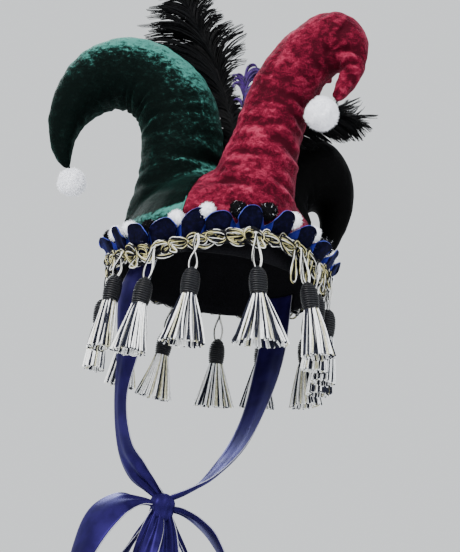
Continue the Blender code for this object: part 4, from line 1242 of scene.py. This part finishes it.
class JESTERHAT_OT_rim_pompoms(bpy.types.Operator):
    """Make the small white wool and black tinsel pompoms behind the ruche"""
    bl_idname = "jester_hat.rim_pompoms"
    bl_label = "Rim pompoms"

    def execute(self, context):
        colours = context.scene.jester_hat_colours
        wool = white_wool(colours)
        black = thread("black_wool", (0.001, 0.001, 0.0015), (0.004, 0.004, 0.0055), scale=500.0,
                       roughness=0.8, gloss=0.06)
        tinsel = thread("silver_tinsel", (0.5, 0.5, 0.55), (0.9, 0.9, 0.95), scale=300.0, roughness=0.25,
                        gloss=0.5, bump=0.1, depth=0.0002, metallic=0.9)
        meshes = {"W": [], "B": []}
        for index, letter in enumerate(RIM_POMPOM_COLOURS):
            low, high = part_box("rim_pompom_%02d" % (index + 1))
            size = 0.96 if letter == "W" else 1.08
            ball = wool_ball(RIM_POMPOM_RADIUS * MM * size, 90 + index, 3)
            ball.materials.append(wool if letter == "W" else black)
            parts = [fuzz_mesh(ball, RIM_FIBRE_DENSITY, RIM_FIBRE_LENGTH, FIBRE_WIDTH, FIBRE_TILT,
                               20 + index, ball.materials[0])]
            if letter == "B":
                parts.append(fuzz_mesh(ball, TINSEL_DENSITY, TINSEL_LENGTH, TINSEL_WIDTH, TINSEL_TILT,
                                       60 + index, tinsel))
            mesh = joined("rim_pompom", [ball, *parts])
            mesh.transform(Matrix.Translation((low + high) / 2))
            meshes[letter].append(mesh)
        for letter, name, slot in (("W", "white", "white_wool"), ("B", "black", "black_tinsel_wool")):
            nodes = ["rim_pompom_%02d" % (index + 1)
                     for index, found in enumerate(RIM_POMPOM_COLOURS) if found == letter]
            piece("rim_pompoms_" + name, joined("rim_pompoms", meshes[letter]), slot, *nodes)
        return {"FINISHED"}


# Ruche

def ruche_grid():
    """The ruche's points, from its foot up and round the rim, and which columns lie in a valley."""
    draw = random.Random(4)
    tongues = [{trait: draw.uniform(*span) for trait, span in TONGUE_TRAITS.items()} for _ in range(TONGUES)]
    sides = [smooth_line(table, 6) for table in (PLAIN_SIDE, CURLED_SIDE)]
    columns = TONGUES * RUCHE_SAMPLES
    grid = np.zeros((RUCHE_ROWS, columns, 3))
    valley = np.zeros(columns, bool)
    for column in range(columns):
        fold, step = divmod(column, RUCHE_SAMPLES)
        q = 2 * math.pi * step / RUCHE_SAMPLES - math.pi
        way = abs(q) / math.pi
        own = tongues[fold]
        near = tongues[fold - 1 if q < 0 else (fold + 1) % TONGUES]
        blend = 0.5 * way ** 3
        shape = {trait: own[trait] * (1 - blend) + near[trait] * blend for trait in own}
        side = sides[CURLED_SIDES[fold] == ("r" if q > 0 else "l")]
        along, crown, stand = (
            float(np.interp(way, side[:, 0], column_of(side, TONGUE_COLUMNS, name)))
            for name in TONGUE_COLUMNS[1:])
        along = math.copysign(along, q) * (1 + (shape["width"] - 1) * min(1, (1 - way) * 3))
        home = TONGUE_PHASE + TONGUE_STEP * (fold + 0.5)
        foot = TONGUE_STEP / 2 * q / math.pi
        rise = RUCHE_DIP_HEIGHT + (RUCHE_TONGUE_HEIGHT * shape["height"] - RUCHE_DIP_HEIGHT) * crown
        for row in range(RUCHE_ROWS):
            v = row / (RUCHE_ROWS - 1)
            spread = v ** 0.55
            twist = shape["twist"] * v ** 1.5 + shape["skew"] * math.sin(3 * v)
            azimuth = home + foot * (1 - spread) + along * spread + twist * stand
            swell = RUCHE_SWELL_FOOT + RUCHE_SWELL * math.sin(min(1, v * 1.1) * math.pi / 2) ** 1.1
            curl = RUCHE_CURL * max(0, (v - 0.65) / 0.35) ** 2
            gather = RUCHE_GATHER * math.sin(3 * q + shape["pleat"]) * (1 - v) ** 2
            out = RUCHE_OUT + (swell * shape["bulge"] + curl) * stand * shape["depth"] + gather
            base = (braid_height(azimuth) + BRAID_HALF_HEIGHT) / MM - RUCHE_FOOT_BELOW
            droop = RUCHE_EDGE_DROOP * max(0, (v - 0.8) / 0.2) ** 2 * stand
            z = base + (rise + RUCHE_FOOT_BELOW) * v - droop
            grid[row, column] = rim_point(azimuth, out * MM, z * MM)
        valley[column] = stand < VALLEY_HIGHLIGHT_STAND
    return grid, valley


class JESTERHAT_OT_ruche(bpy.types.Operator):
    """Make the velvet ribbon ruche: tongues that bulge out between the pompoms"""
    bl_idname = "jester_hat.ruche"
    bl_label = "Ribbon ruche"

    def execute(self, context):
        grid, valley = ruche_grid()
        columns = len(valley)
        mesh = grid_mesh("ruche", grid, closed_u=True,
                         uv=lambda r, c: (r / (RUCHE_ROWS - 1), c / columns * 1.3))
        fix_normals(mesh)
        # Faces in the valleys take the second slot, satin three times as bright as the ribbon's body: a
        # painted highlight there.
        slots = np.resize(valley, len(mesh.polygons)).astype(int)
        mesh.polygons.foreach_set("material_index", slots.tolist())
        mesh.materials.append(velvet(
            "navy_ribbon_velvet", (0.0006, 0.0007, 0.004), (0.0022, 0.0018, 0.013), (0.012, 0.012, 0.13),
            scale=260.0, share=0.2, painted_top_light=0.12, tint=(0.1, 0.13, 1.0), sheen=0.4, sheen_roughness=0.2,
            bump=0.15))
        mesh.materials.append(satin("navy_ribbon_satin_and_valley_highlight", (0.0055, 0.0065, 0.062), 1.5, 3.0))
        # Edge thread far brighter than the ribbon: a painted highlight along the tongues' edges.
        mesh.materials.append(thread(
            "navy_ribbon_edge_highlight", (0.013, 0.018, 0.15), (0.04, 0.06, 0.36), scale=800.0, roughness=0.4,
            gloss=0.2, bump=0.3, depth=0.0003))
        mesh = solidified(mesh, RUCHE_THICKNESS * MM, 0, "ruche", rim=2, back=1)
        ruche = piece("ribbon_ruche_velvet", mesh, "navy_velvet", "ribbon_ruche")
        return {"FINISHED"}


# Braid

def chain_path(strand, cord):
    """One cord of the braid: it loops back over itself once a link, above or below its partner."""
    link = 360 / CHAIN_LINKS
    draw = random.Random(70 + strand)
    traits = [[draw.uniform(*span) for _ in range(CHAIN_LINKS)]
              for span in (CHAIN_UNEVEN, CHAIN_SWAY, CHAIN_BULK)]
    sign = 1 if strand else -1
    points = []
    for step in range(CHAIN_LINKS * CHAIN_STEPS + 1):
        turn = 2 * math.pi * step / CHAIN_STEPS
        number = step / CHAIN_STEPS
        here, ahead = int(number) % CHAIN_LINKS, (int(number) + 1) % CHAIN_LINKS
        share = number - int(number)
        share = share * share * (3 - 2 * share)
        size, shift, proud = (values[here] * (1 - share) + values[ahead] * share for values in traits)
        azimuth = link * (number + 0.5 * strand) + CHAIN_OVERLAP * link / 2 * math.sin(turn)
        up = sign * (CHAIN_HEIGHT * size - (cord - 1) * 1.6) * math.cos(turn) + shift
        out = CHAIN_DEPTH * math.sin(turn + 0.6) * sign + (1 - abs(cord - 1)) * 0.9 + proud
        points.append(tuple(rim_point(azimuth, BRAID_OUT + out * MM, braid_height(azimuth) + up * MM)))
    return np.array(points)


def core_path(share):
    """One cord of the bundle that runs inside the chain."""
    points = []
    for azimuth in range(0, 361, 2):
        turn = math.radians(azimuth * 13)
        up = 1.5 * math.sin(turn + 2.1 * share) + 1.3 * share
        out = -1.2 + 0.9 * math.cos(turn + 2.1 * share)
        points.append(tuple(rim_point(azimuth, BRAID_OUT + out * MM, braid_height(azimuth) + up * MM)))
    return np.array(points)


def loose_loop_path(azimuth, drop, width, lean, seed):
    """A loop of cord that hangs off the braid and goes back into it."""
    draw = random.Random(seed)
    home = rim_point(azimuth, BRAID_OUT + draw.uniform(1, 4.5) * MM, braid_height(azimuth) - 1 * MM)
    angle = math.radians(azimuth)
    along = Vector((-math.sin(angle), math.cos(angle), 0))
    away = Vector((math.cos(angle), math.sin(angle), 0))
    points = []
    for step in range(29):
        t = step / 28
        open_share = math.sin(math.pi * t)
        side = math.sin(2 * math.pi * t - math.pi) * width * (0.35 + 0.65 * open_share) * 0.5
        fall = drop * open_share ** 0.8
        wobble = math.sin(5 * t + seed)
        shift = along * (side + lean * open_share) + away * (wobble + 0.8 * open_share)
        points.append(tuple(home + (shift + Vector((0, 0, -fall))) * MM))
    return np.array(points)


def braid_tape(material):
    """The dark tape that the cords are sewn to."""
    tape = grid_mesh("tape", np.array([
        [tuple(rim_point(azimuth, TAPE_OUT, braid_height(azimuth) + z * MM))
         for azimuth in range(0, 360, 3)] for z in TAPE_EDGES]), closed_u=True)
    fix_normals(tape)
    tape.materials.append(material)
    return solidified(tape, 0.6 * MM, 0, "tape", rim=0)


class JESTERHAT_OT_braid(bpy.types.Operator):
    """Make the chained braid of twisted cords and the loose loops that hang off it"""
    bl_idname = "jester_hat.braid"
    bl_label = "Braid"

    def execute(self, context):
        white, black, cream = cord_materials()
        cords = ((white, black, black), (black, cream, black), (cream, white, black))
        meshes = [cord_mesh("braid", [chain_path(strand, cord)], plies, ply=0.45, lay=0.5, step=2.2)
                  for strand in (0, 1) for cord, plies in enumerate(cords)]
        loops = [loose_loop_path(*row, seed=index) for index, row in enumerate(LOOSE_LOOPS)]
        meshes.append(cord_mesh("loops", loops, (white, black, cream), ply=0.46, lay=0.54, step=1.1))
        through = [core_path(share) for share in (-1, 0, 1)]
        meshes.append(cord_mesh("core", through, (black, cream, black), ply=0.6, lay=0.6, step=3.0))
        meshes.append(braid_tape(black))
        piece("braid_cords", joined("braid_cords", meshes), "braid_cord", "braid_trim")
        return {"FINISHED"}


# Tassels

def tassel_matrix(row, node):
    """The tassel's place: turned as in the part, with its top where the CAD node's top is."""
    spin = (Matrix.Rotation(math.radians(row["azimuth"] + 90), 4, "Z")
            @ Matrix.Rotation(-math.radians(row["splay"]), 4, "X")
            @ Matrix.Rotation(-math.radians(row["sideways"]), 4, "Y"))
    points = coordinates(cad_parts[node].data)
    height = points[:, 2].max()
    top = points[points[:, 2] > height - 3.2 * MM].mean(axis=0)
    return Matrix.Translation((top[0], top[1], height)) @ spin


def loop_paths(length, seed):
    """A tassel's loop: two cords, twisted at the top and open in an eye, and the arch that joins them."""
    draw = random.Random(seed)
    turns = draw.uniform(0.1, 0.55)
    start = draw.uniform(-0.5, 0.5)
    paths = []
    for sign in (-1, 1):
        points = []
        for step in range(25):
            t = step / 24
            eye = math.sin(math.pi * t ** 1.5) ** 0.9
            spread = 1.1 + 3.0 * eye
            angle = start + 2 * math.pi * turns * (1 - t) ** 1.6
            x, y = spread * math.cos(angle) * sign, spread * math.sin(angle) * sign * 0.6
            points.append((x * MM, y * MM, -t * (length + 2.5) * MM))
        paths.append(np.array(points))
    over = [(-0.95 * math.cos(a) * MM, (0.4 + 1.2 * math.sin(a)) * MM, 1.4 * math.sin(a) * MM)
            for a in np.linspace(0.2, math.pi - 0.2, 9)]
    return paths + [np.array(over)]


def head_radius(depth):
    depths, radii = zip(*TASSEL_HEAD)
    return float(np.interp(depth, depths, radii))


def head_point(top, depth, radius, angle):
    return (radius * math.cos(angle) * MM, radius * math.sin(angle) * HEAD_FLAT * MM, -(top + depth) * MM)


def wound_head(top, material, seed):
    """The tassel's head: thread wound from the neck down over a core, with folds gathered over its top."""
    total = TASSEL_HEAD[-1][0]
    turns = total / WIND_PITCH
    points = []
    for step in range(int(turns * WIND_STEPS) + 1):
        depth = total * step / (turns * WIND_STEPS)
        angle = 2 * math.pi * step / WIND_STEPS
        reach = head_radius(depth) - WIND_INSET + 0.12 * math.sin(3 * angle + seed)
        points.append(head_point(top, depth, reach, angle))
    radii = np.full(len(points), WIND_RADIUS * MM)
    winding = strand_mesh("winding", [np.array(points)], [radii], 6, material)
    rings = np.array([[head_point(top, depth, max(0.4, head_radius(depth) - CORE_INSET), angle)
                       for angle in np.linspace(0, 2 * math.pi, 20, endpoint=False)]
                      for depth in np.linspace(0.2, total, 10)])
    core = grid_mesh("core", rings, closed_u=True)
    core.materials.append(material)
    draw = random.Random(seed)
    folds = []
    for index in range(HEAD_FOLDS):
        angle = 2 * math.pi * index / HEAD_FOLDS + draw.uniform(-0.1, 0.1)
        folds.append(np.array([head_point(top, depth, radius, angle) for depth, radius in HEAD_FOLD]))
    radii = np.full(len(HEAD_FOLD), HEAD_FOLD_RADIUS * MM)
    return [winding, core, strand_mesh("folds", folds, [radii] * HEAD_FOLDS, 5, material)]


def skirt_paths(top, spread, count, seed):
    """Strands of a skirt, each with its shade: w for white, b for black or c for cream."""
    draw = random.Random(seed)
    strands = []
    for index in range(count):
        angle = 2 * math.pi * (index + draw.uniform(-0.4, 0.4)) / count * len(SKIRT_RINGS)
        depth = SKIRT_RINGS[index % len(SKIRT_RINGS)] * draw.uniform(0.93, 1.03)
        flare = spread * depth * draw.uniform(0.9, 1.06)
        length = SKIRT_LENGTH * draw.uniform(0.985, 1.015)
        sway = draw.uniform(-1.3, 1.3)
        bow = draw.uniform(0.9, 1.35)
        start = SKIRT_TOP_RADIUS * depth
        points = []
        for t in np.linspace(0, 1, len(SKIRT_RADII)):
            reach = start + (flare - start) * t ** bow
            flat = HEAD_FLAT + (SKIRT_FLAT - HEAD_FLAT) * t
            turn = angle + 0.03 * sway * math.sin(3 * t)
            points.append(((reach * math.cos(turn) + sway * 0.5 * math.sin(math.pi * t)) * MM,
                           reach * flat * math.sin(turn) * MM, -(top + length * t) * MM))
        strands.append((np.array(points), draw.choice(SKIRT_SHADES[index % 2])))
    return strands


class JESTERHAT_OT_tassels(bpy.types.Operator):
    """Make the tassels: twisted loop, wound head and skirt of cut cords"""
    bl_idname = "jester_hat.tassels"
    bl_label = "Tassels"

    def execute(self, context):
        count = context.scene.jester_hat_sizes.skirt_strands
        white, black = cord_materials()[:2]
        skirts = {
            "w": thread("skirt_white", (0.68, 0.69, 0.7), (0.9, 0.9, 0.9), scale=600.0),
            "b": thread("skirt_black", (0.002, 0.0025, 0.006), (0.011, 0.013, 0.026), scale=600.0, gloss=0.1),
            "c": thread("skirt_cream", (0.36, 0.34, 0.22), (0.66, 0.64, 0.46), scale=600.0),
        }
        dark = thread("head_thread", (0.0015, 0.0017, 0.003), (0.006, 0.0065, 0.009), scale=700.0,
                      roughness=0.42, gloss=0.24)
        thickness = np.array(SKIRT_RADII) * MM
        for index, row in enumerate(rows_of(TASSELS, TASSEL_COLUMNS)):
            node = "tassel_%02d" % (index + 1)
            loop = row["loop"]
            parts = [cord_mesh("loop", loop_paths(loop, index), (white, black, white), ply=0.5, lay=0.58,
                               step=1.0, pitch=70)]
            parts += wound_head(loop + HEAD_START, dark, index)
            strands = skirt_paths(loop + SKIRT_START, row["spread"], count, 300 + index)
            for letter, material in skirts.items():
                paths = [path for path, shade in strands if shade == letter]
                if paths:
                    parts.append(strand_mesh("skirt", paths, [thickness] * len(paths), 5, material))
            mesh = joined(node, parts)
            mesh.transform(tassel_matrix(row, node))
            piece(node + "_cords", mesh, "tassel_thread", node)
        return {"FINISHED"}


# Ties and bow

def ribbon_grid(table, ripple, seed):
    """A ribbon's surface through a table's rows, with long soft ripples, and its lengths in metres."""
    rows = smooth_line(table, RIBBON_STEPS)
    centres = rows[:, :3] * MM
    ahead = np.gradient(centres, axis=0)
    ahead /= np.linalg.norm(ahead, axis=1)[:, None]
    width = column_of(rows, RIBBON_COLUMNS, "width")
    azimuth, pitch = (np.radians(column_of(rows, RIBBON_COLUMNS, name))
                      for name in ("across_azimuth", "across_pitch"))
    across = np.stack([np.cos(pitch) * np.cos(azimuth), np.cos(pitch) * np.sin(azimuth), np.sin(pitch)],
                      axis=1)
    across -= ahead * (across * ahead).sum(axis=1)[:, None]
    across /= np.linalg.norm(across, axis=1)[:, None]
    facing = np.cross(across, ahead)
    lengths = arc_lengths(centres)
    gather = np.clip(1 - width / RIBBON_FULL_WIDTH, 0, 1)
    grid = np.zeros((len(rows), RIBBON_POINTS_ACROSS, 3))
    for column, s in enumerate(np.linspace(-1, 1, RIBBON_POINTS_ACROSS)):
        bow = column_of(rows, RIBBON_COLUMNS, "cup") * (1 - s * s)
        pleat = RIBBON_PLEAT * gather * np.cos(2.5 * math.pi * s + seed)
        wave = np.sin(lengths / MM / RIBBON_RIPPLE_LENGTH + 1.7 * s + seed)
        soft = ripple * wave * (1 - gather) * (0.4 + 0.6 * abs(s))
        grid[:, column] = (centres + across * (s * width / 2 * MM)[:, None]
                           + facing * ((bow + pleat + soft) * MM)[:, None])
    return grid, lengths


def ribbon_piece(node, material, seed):
    table, held, ripple, notched = RIBBONS[node]
    grid, lengths = ribbon_grid(table, ripple, seed)
    columns = grid.shape[1]
    if notched:
        sides = np.abs(np.linspace(-1, 1, columns))
        for row in range(NOTCH_ROWS):
            grid[row - NOTCH_ROWS, :, 2] -= NOTCH_DEPTH * MM * (sides - 0.5) * (row + 1) / NOTCH_ROWS
    mesh = grid_mesh(node, grid, uv=lambda r, c: (c / (columns - 1), float(lengths[r])))
    mesh.materials.append(material)
    mesh = solidified(mesh, RIBBON_THICKNESS * MM, 0, node, rim=0)
    ribbon = piece(node + "_satin", mesh, "navy_satin", node)


def knot_mesh():
    """The bow's knot: a pinched ball of folds."""
    rows = []
    for ring in range(KNOT_RINGS + 1):
        rise = math.pi * ring / KNOT_RINGS
        row = []
        for segment in range(KNOT_SEGMENTS):
            angle = 2 * math.pi * segment / KNOT_SEGMENTS
            fold = 1 + 0.05 * (math.cos(3 * angle + 1.5 * math.cos(rise)) + math.cos(7 * angle + rise))
            pinch = 1 - 0.1 * math.exp(-((ring - KNOT_RINGS / 2 + 3 * math.sin(angle)) / 2.0) ** 2)
            reach = 0.97 * max(0.02, math.sin(rise)) ** 0.75 * fold * pinch
            heading = (reach * math.cos(angle), reach * math.sin(angle), math.cos(rise))
            row.append([middle + half * share
                        for middle, half, share in zip(KNOT_CENTRE, KNOT_HALF_SIZE, heading)])
        rows.append(row)
    mesh = grid_mesh("knot", np.array(rows) * MM, closed_u=True,
                     uv=lambda r, c: (0.1 + 0.8 * r / KNOT_RINGS, c / KNOT_SEGMENTS * 0.06))
    fix_normals(mesh)
    return mesh


class JESTERHAT_OT_ribbons(bpy.types.Operator):
    """Make the satin ties, the bow's loops and tails, and its knot"""
    bl_idname = "jester_hat.ribbons"
    bl_label = "Ties and bow"

    def execute(self, context):
        material = satin("navy_satin_ribbon", tuple(context.scene.jester_hat_colours.navy_body), 0.62)
        for seed, node in enumerate(RIBBONS, 1):
            ribbon_piece(node, material, seed)
        knot = knot_mesh()
        knot.materials.append(material)
        piece("bow_knot_satin", knot, "navy_satin", "bow_knot")
        return {"FINISHED"}


# Plumes and tuft

def barb_paths(table, barb_table, count, droop, seed):
    """A plume's barbs, its shaft's line and the grids of its vane's two sides, in metres.

    Barbs leave the shaft along it, bend out and close into pointed locks.
    """
    draw = random.Random(seed)
    rows = smooth_line(table, 12)
    centres = rows[:, :3]
    leans = np.radians(column_of(rows, FEATHER_COLUMNS, "lean"))
    lengths = arc_lengths(centres)
    ahead = np.gradient(centres, axis=0)
    ahead /= np.linalg.norm(ahead, axis=1)[:, None]
    barb_rows = np.array(barb_table, float)
    shares = column_of(barb_rows, BARB_COLUMNS, "share")
    first, last = shares[0], shares[-1]

    def on_shaft(t, values):
        """The value, or the vector, that lies at share T of the shaft's length."""
        where = np.interp(t * lengths[-1], lengths, np.arange(len(lengths)))
        return np.array([np.interp(where, np.arange(len(rows)), line) for line in np.atleast_2d(values.T)])

    def barb(t, sign, reach_share, turn, depth, fall_share):
        hand = "left" if sign < 0 else "right"
        reach, sweep, opening = (np.interp(t, shares, column_of(barb_rows, BARB_COLUMNS, name))
                                 for name in (hand, "sweep", "open_" + hand))
        spot, heading, lean = on_shaft(t, centres), on_shaft(t, ahead), on_shaft(t, leans)[0]
        side = np.array([math.cos(lean), 0, -math.sin(lean)]) * sign
        points = []
        for share in np.linspace(0, 1, BARB_STEPS):
            points.append(spot.copy())
            go = (side * (0.2 * opening + (opening + turn) * share) + heading * sweep * (1 - 0.8 * share)
                  + np.array([0, depth, -droop * fall_share * share ** 2]))
            spot = spot + go / np.linalg.norm(go) * reach * reach_share / (BARB_STEPS - 1)
        return np.array(points)

    paths = []
    locks = count // BARB_LOCK
    for sign in (-1, 1):
        for number in range(locks):
            t = first + (last - first) * (number + draw.uniform(0, 1)) / locks
            turn, depth = draw.uniform(-0.35, 0.35), draw.gauss(0, 0.26)
            reach, fall = draw.uniform(0.8, 1.05), draw.uniform(0.5, 1.4)
            middle = barb(t, sign, reach, turn, depth, fall)
            for _ in range(BARB_LOCK):
                at = min(last, max(first, t + draw.uniform(-0.022, 0.022)))
                own = barb(at, sign, reach * draw.uniform(0.84, 1.04), turn + draw.uniform(-0.15, 0.15),
                           depth + draw.gauss(0, 0.14), fall)
                close = np.linspace(0, 1, BARB_STEPS)[:, None] ** 1.3 * draw.uniform(0.55, 0.95)
                paths.append((own * (1 - close) + middle * close) * MM)
    vanes = []
    for sign in (-1, 1):
        vane = []
        for t in np.linspace(first, last, VANE_ROWS):
            base = barb(t, sign, 1.0, 0.0, 0.0, 1.0)
            part = np.interp(t, VANE_NARROWS, VANE_SHARE) * draw.uniform(0.75, 1.0)
            at = np.linspace(0, part * (BARB_STEPS - 1), VANE_COLUMNS)
            vane.append(np.stack([np.interp(at, np.arange(BARB_STEPS), base[:, axis])
                                  for axis in range(3)], axis=1) * MM)
        vanes.append(np.array(vane))
    return paths, centres * MM, vanes


def barbule_paths(barbs, length, seed):
    """A short fine hair off each stretch of each barb, so that it looks soft."""
    draw = random.Random(seed)
    paths = []
    for barb in barbs:
        for near, far in zip(barb[1:], barb[2:]):
            share = draw.random()
            spot = near * (1 - share) + far * share
            ahead = (far - near) / max(1e-9, np.linalg.norm(far - near))
            away = np.array([draw.gauss(0, 1) for _ in range(3)])
            go = ahead * 0.9 + away / max(1e-9, np.linalg.norm(away)) * 0.8
            go = go / np.linalg.norm(go)
            paths.append(np.array([spot, spot + go * length * draw.uniform(0.5, 1.2) * MM]))
    return paths


def plume_parts(table, barb_table, count, droop, seed, black, quill):
    barbs, shaft, vanes = barb_paths(table, barb_table, count, droop, seed)
    shaft = shaft[:int(len(shaft) * barb_table[-1][0])]
    fine = barbule_paths(barbs[::4], 3.2, seed)
    parts = [
        strand_mesh("shaft", [shaft], [np.linspace(*SHAFT_RADII, len(shaft)) * MM], 8, quill),
        strand_mesh("barbs", barbs, [np.array(BARB_RADII) * MM] * len(barbs), 3, black),
        strand_mesh("barbules", fine, [np.array([0.16, 0.08]) * MM] * len(fine), 3, black),
    ]
    for grid in vanes:
        vane = grid_mesh("vane", grid)
        vane.materials.append(black)
        parts.append(solidified(vane, 0.3 * MM, 0, "vane", rim=0))
    return parts


def tuft_strips(foot):
    """The tuft's curled strips, a few close together in each frond, and their radii, in metres."""
    draw = random.Random(31)
    paths = []
    for _ in range(TUFT_FRONDS):
        start = int(len(foot) * draw.uniform(0.5, 0.98))
        side = draw.choice((-1, 1, 1))
        lean = math.radians(side * draw.uniform(0, 26))
        reach = draw.uniform(20, 36) * (0.7 if side < 0 else 1)
        turn = side * draw.uniform(0.22, 0.5)
        back = draw.gauss(0, 0.18)
        for _ in range(TUFT_STRIPS):
            spot = foot[start] / MM + np.array([draw.gauss(0, 0.5), draw.gauss(0, 0.5), 0])
            heading = lean + draw.uniform(-0.1, 0.1)
            points = []
            for step in range(TUFT_STEPS):
                points.append(spot * MM)
                spot = spot + np.array([math.sin(heading), back, math.cos(heading)]) * reach / TUFT_STEPS
                heading += turn * (step / 6) ** 1.8
            paths.append(np.array(points))
    radii = (0.25 + 0.95 * np.sin(np.linspace(0.5, 3.0, TUFT_STEPS))) * MM
    return paths, [radii] * len(paths)


class JESTERHAT_OT_plumes(bpy.types.Operator):
    """Make the black ostrich plumes and the violet curled tuft"""
    bl_idname = "jester_hat.plumes"
    bl_label = "Plumes and tuft"

    def execute(self, context):
        count = context.scene.jester_hat_sizes.plume_barbs
        black = thread("black_barbs", (0.0006, 0.0006, 0.0009), (0.0025, 0.0028, 0.0035), scale=300.0,
                       roughness=0.55, gloss=0.08)
        quill = thread("black_quill", (0.0015, 0.0015, 0.002), (0.003, 0.003, 0.0035), scale=200.0,
                       roughness=0.5, gloss=0.05)
        for node, table, barb_table, share, droop, seed in (
                ("plume_tall", TALL_PLUME, TALL_BARBS, 1.0, 0.5, 201),
                ("plume_right", RIGHT_PLUME, RIGHT_BARBS, 0.8, 0.25, 202)):
            parts = plume_parts(table, barb_table, int(count * share), droop, seed, black, quill)
            piece(node + "_feather", joined(node, parts), "black_feather", node)
        violet = thread("violet_barbs", (0.008, 0.001, 0.03), (0.032, 0.006, 0.105), scale=300.0,
                        roughness=0.45, sheen=0.1, gloss=0.15)
        foot = smooth_line(TUFT_LINE, 6) * MM
        strips, radii = tuft_strips(foot)
        fine = barbule_paths(strips, 2.2, 77)
        parts = [
            strand_mesh("foot", [foot], [np.linspace(1.6, 0.6, len(foot)) * MM], 8, quill),
            strand_mesh("strips", strips, radii, 5, violet),
            strand_mesh("wisps", fine, [np.array([0.16, 0.07]) * MM] * len(fine), 3, violet),
        ]
        piece("feather_tuft_curls", joined("feather_tuft", parts), "violet_feather", "feather_tuft")
        return {"FINISHED"}


# Stage

def add_camera(scene):
    """The camera of the photograph, tilted up and rolled."""
    camera = bpy.data.cameras.new("photo_camera")
    camera.sensor_fit = "VERTICAL"
    camera.sensor_height = SENSOR_HEIGHT
    camera.lens = SENSOR_HEIGHT * CAMERA_FOCAL / PHOTO_SIZE[1]
    tilt, roll = math.radians(CAMERA_TILT), math.radians(CAMERA_ROLL)
    ahead = Vector((0, math.cos(tilt), math.sin(tilt)))
    up = Vector((0, -math.sin(tilt), math.cos(tilt)))
    right = Vector((1, 0, 0))
    image_x = right * math.cos(roll) + up * math.sin(roll)
    image_y = up * math.cos(roll) - right * math.sin(roll)
    turn = Matrix((image_x, image_y, -ahead)).transposed().to_4x4()
    scene.camera = new_object("photo_camera", camera)
    scene.camera.matrix_world = Matrix.Translation(CAMERA_PLACE) @ turn


def add_light(name, place, energy, size, colour):
    light = bpy.data.lights.new(name, "AREA")
    light.energy = energy
    light.size = size
    light.color = colour
    lamp = new_object(name, light)
    lamp.location = place
    lamp.rotation_euler = (Vector(LIT_POINT) - Vector(place)).to_track_quat("-Z", "Y").to_euler()


class JESTERHAT_OT_stage(bpy.types.Operator):
    """Set the camera of the photograph, the studio lights and the pale floor"""
    bl_idname = "jester_hat.stage"
    bl_label = "Stage"

    def execute(self, context):
        add_camera(context.scene)
        floor = grid_mesh("floor", np.array([
            [(x * FLOOR_REACH, y * FLOOR_REACH, FLOOR_Z) for x in (-1, 1)] for y in (-1, 1)]))
        floor.materials.append(thread(
            "floor_paper", (0.7, 0.71, 0.72), (0.78, 0.785, 0.79), scale=30.0, roughness=0.8, gloss=0.5,
            bump=0.05, depth=0.001))
        new_object("floor", floor)
        world = bpy.data.worlds.new("studio")
        world.use_nodes = True
        back = world.node_tree.nodes["Background"]
        back.inputs["Color"].default_value = (0.86, 0.89, 0.91, 1)
        back.inputs["Strength"].default_value = 1.15
        context.scene.world = world
        for name, settings in LIGHTS.items():
            add_light(name, *settings)
        return {"FINISHED"}


class JESTERHAT_PT_pieces(bpy.types.Panel):
    """Lists the hat's pieces and its sizes and colours"""
    bl_idname = "JESTERHAT_PT_pieces"
    bl_label = "Jester hat"
    bl_space_type = "VIEW_3D"
    bl_region_type = "UI"
    bl_category = "Jester hat"

    def draw(self, context):
        layout = self.layout
        for settings in (context.scene.jester_hat_sizes, context.scene.jester_hat_colours):
            for name in settings.__annotations__:
                layout.prop(settings, name)
        for operator in PIECES:
            layout.operator(operator.bl_idname)


PIECES = (
    JESTERHAT_OT_lining, JESTERHAT_OT_horns, JESTERHAT_OT_tip_pompoms, JESTERHAT_OT_rim_pompoms,
    JESTERHAT_OT_ruche, JESTERHAT_OT_braid, JESTERHAT_OT_tassels, JESTERHAT_OT_ribbons,
    JESTERHAT_OT_plumes, JESTERHAT_OT_stage,
)
CLASSES = (JesterHatColours, JesterHatSizes, *PIECES, JESTERHAT_PT_pieces)


def register():
    for item in CLASSES:
        bpy.utils.register_class(item)
    bpy.types.Scene.jester_hat_colours = bpy.props.PointerProperty(type=JesterHatColours)
    bpy.types.Scene.jester_hat_sizes = bpy.props.PointerProperty(type=JesterHatSizes)


def unregister():
    del bpy.types.Scene.jester_hat_sizes
    del bpy.types.Scene.jester_hat_colours
    for item in reversed(CLASSES):
        bpy.utils.unregister_class(item)


def main():
    register()
    bpy.ops.jester_hat.lining()
    bpy.ops.jester_hat.horns()
    bpy.ops.jester_hat.tip_pompoms()
    bpy.ops.jester_hat.rim_pompoms()
    bpy.ops.jester_hat.ruche()
    bpy.ops.jester_hat.braid()
    bpy.ops.jester_hat.tassels()
    bpy.ops.jester_hat.ribbons()
    bpy.ops.jester_hat.plumes()
    bpy.ops.jester_hat.stage()


if __name__ == "__main__":
    main()
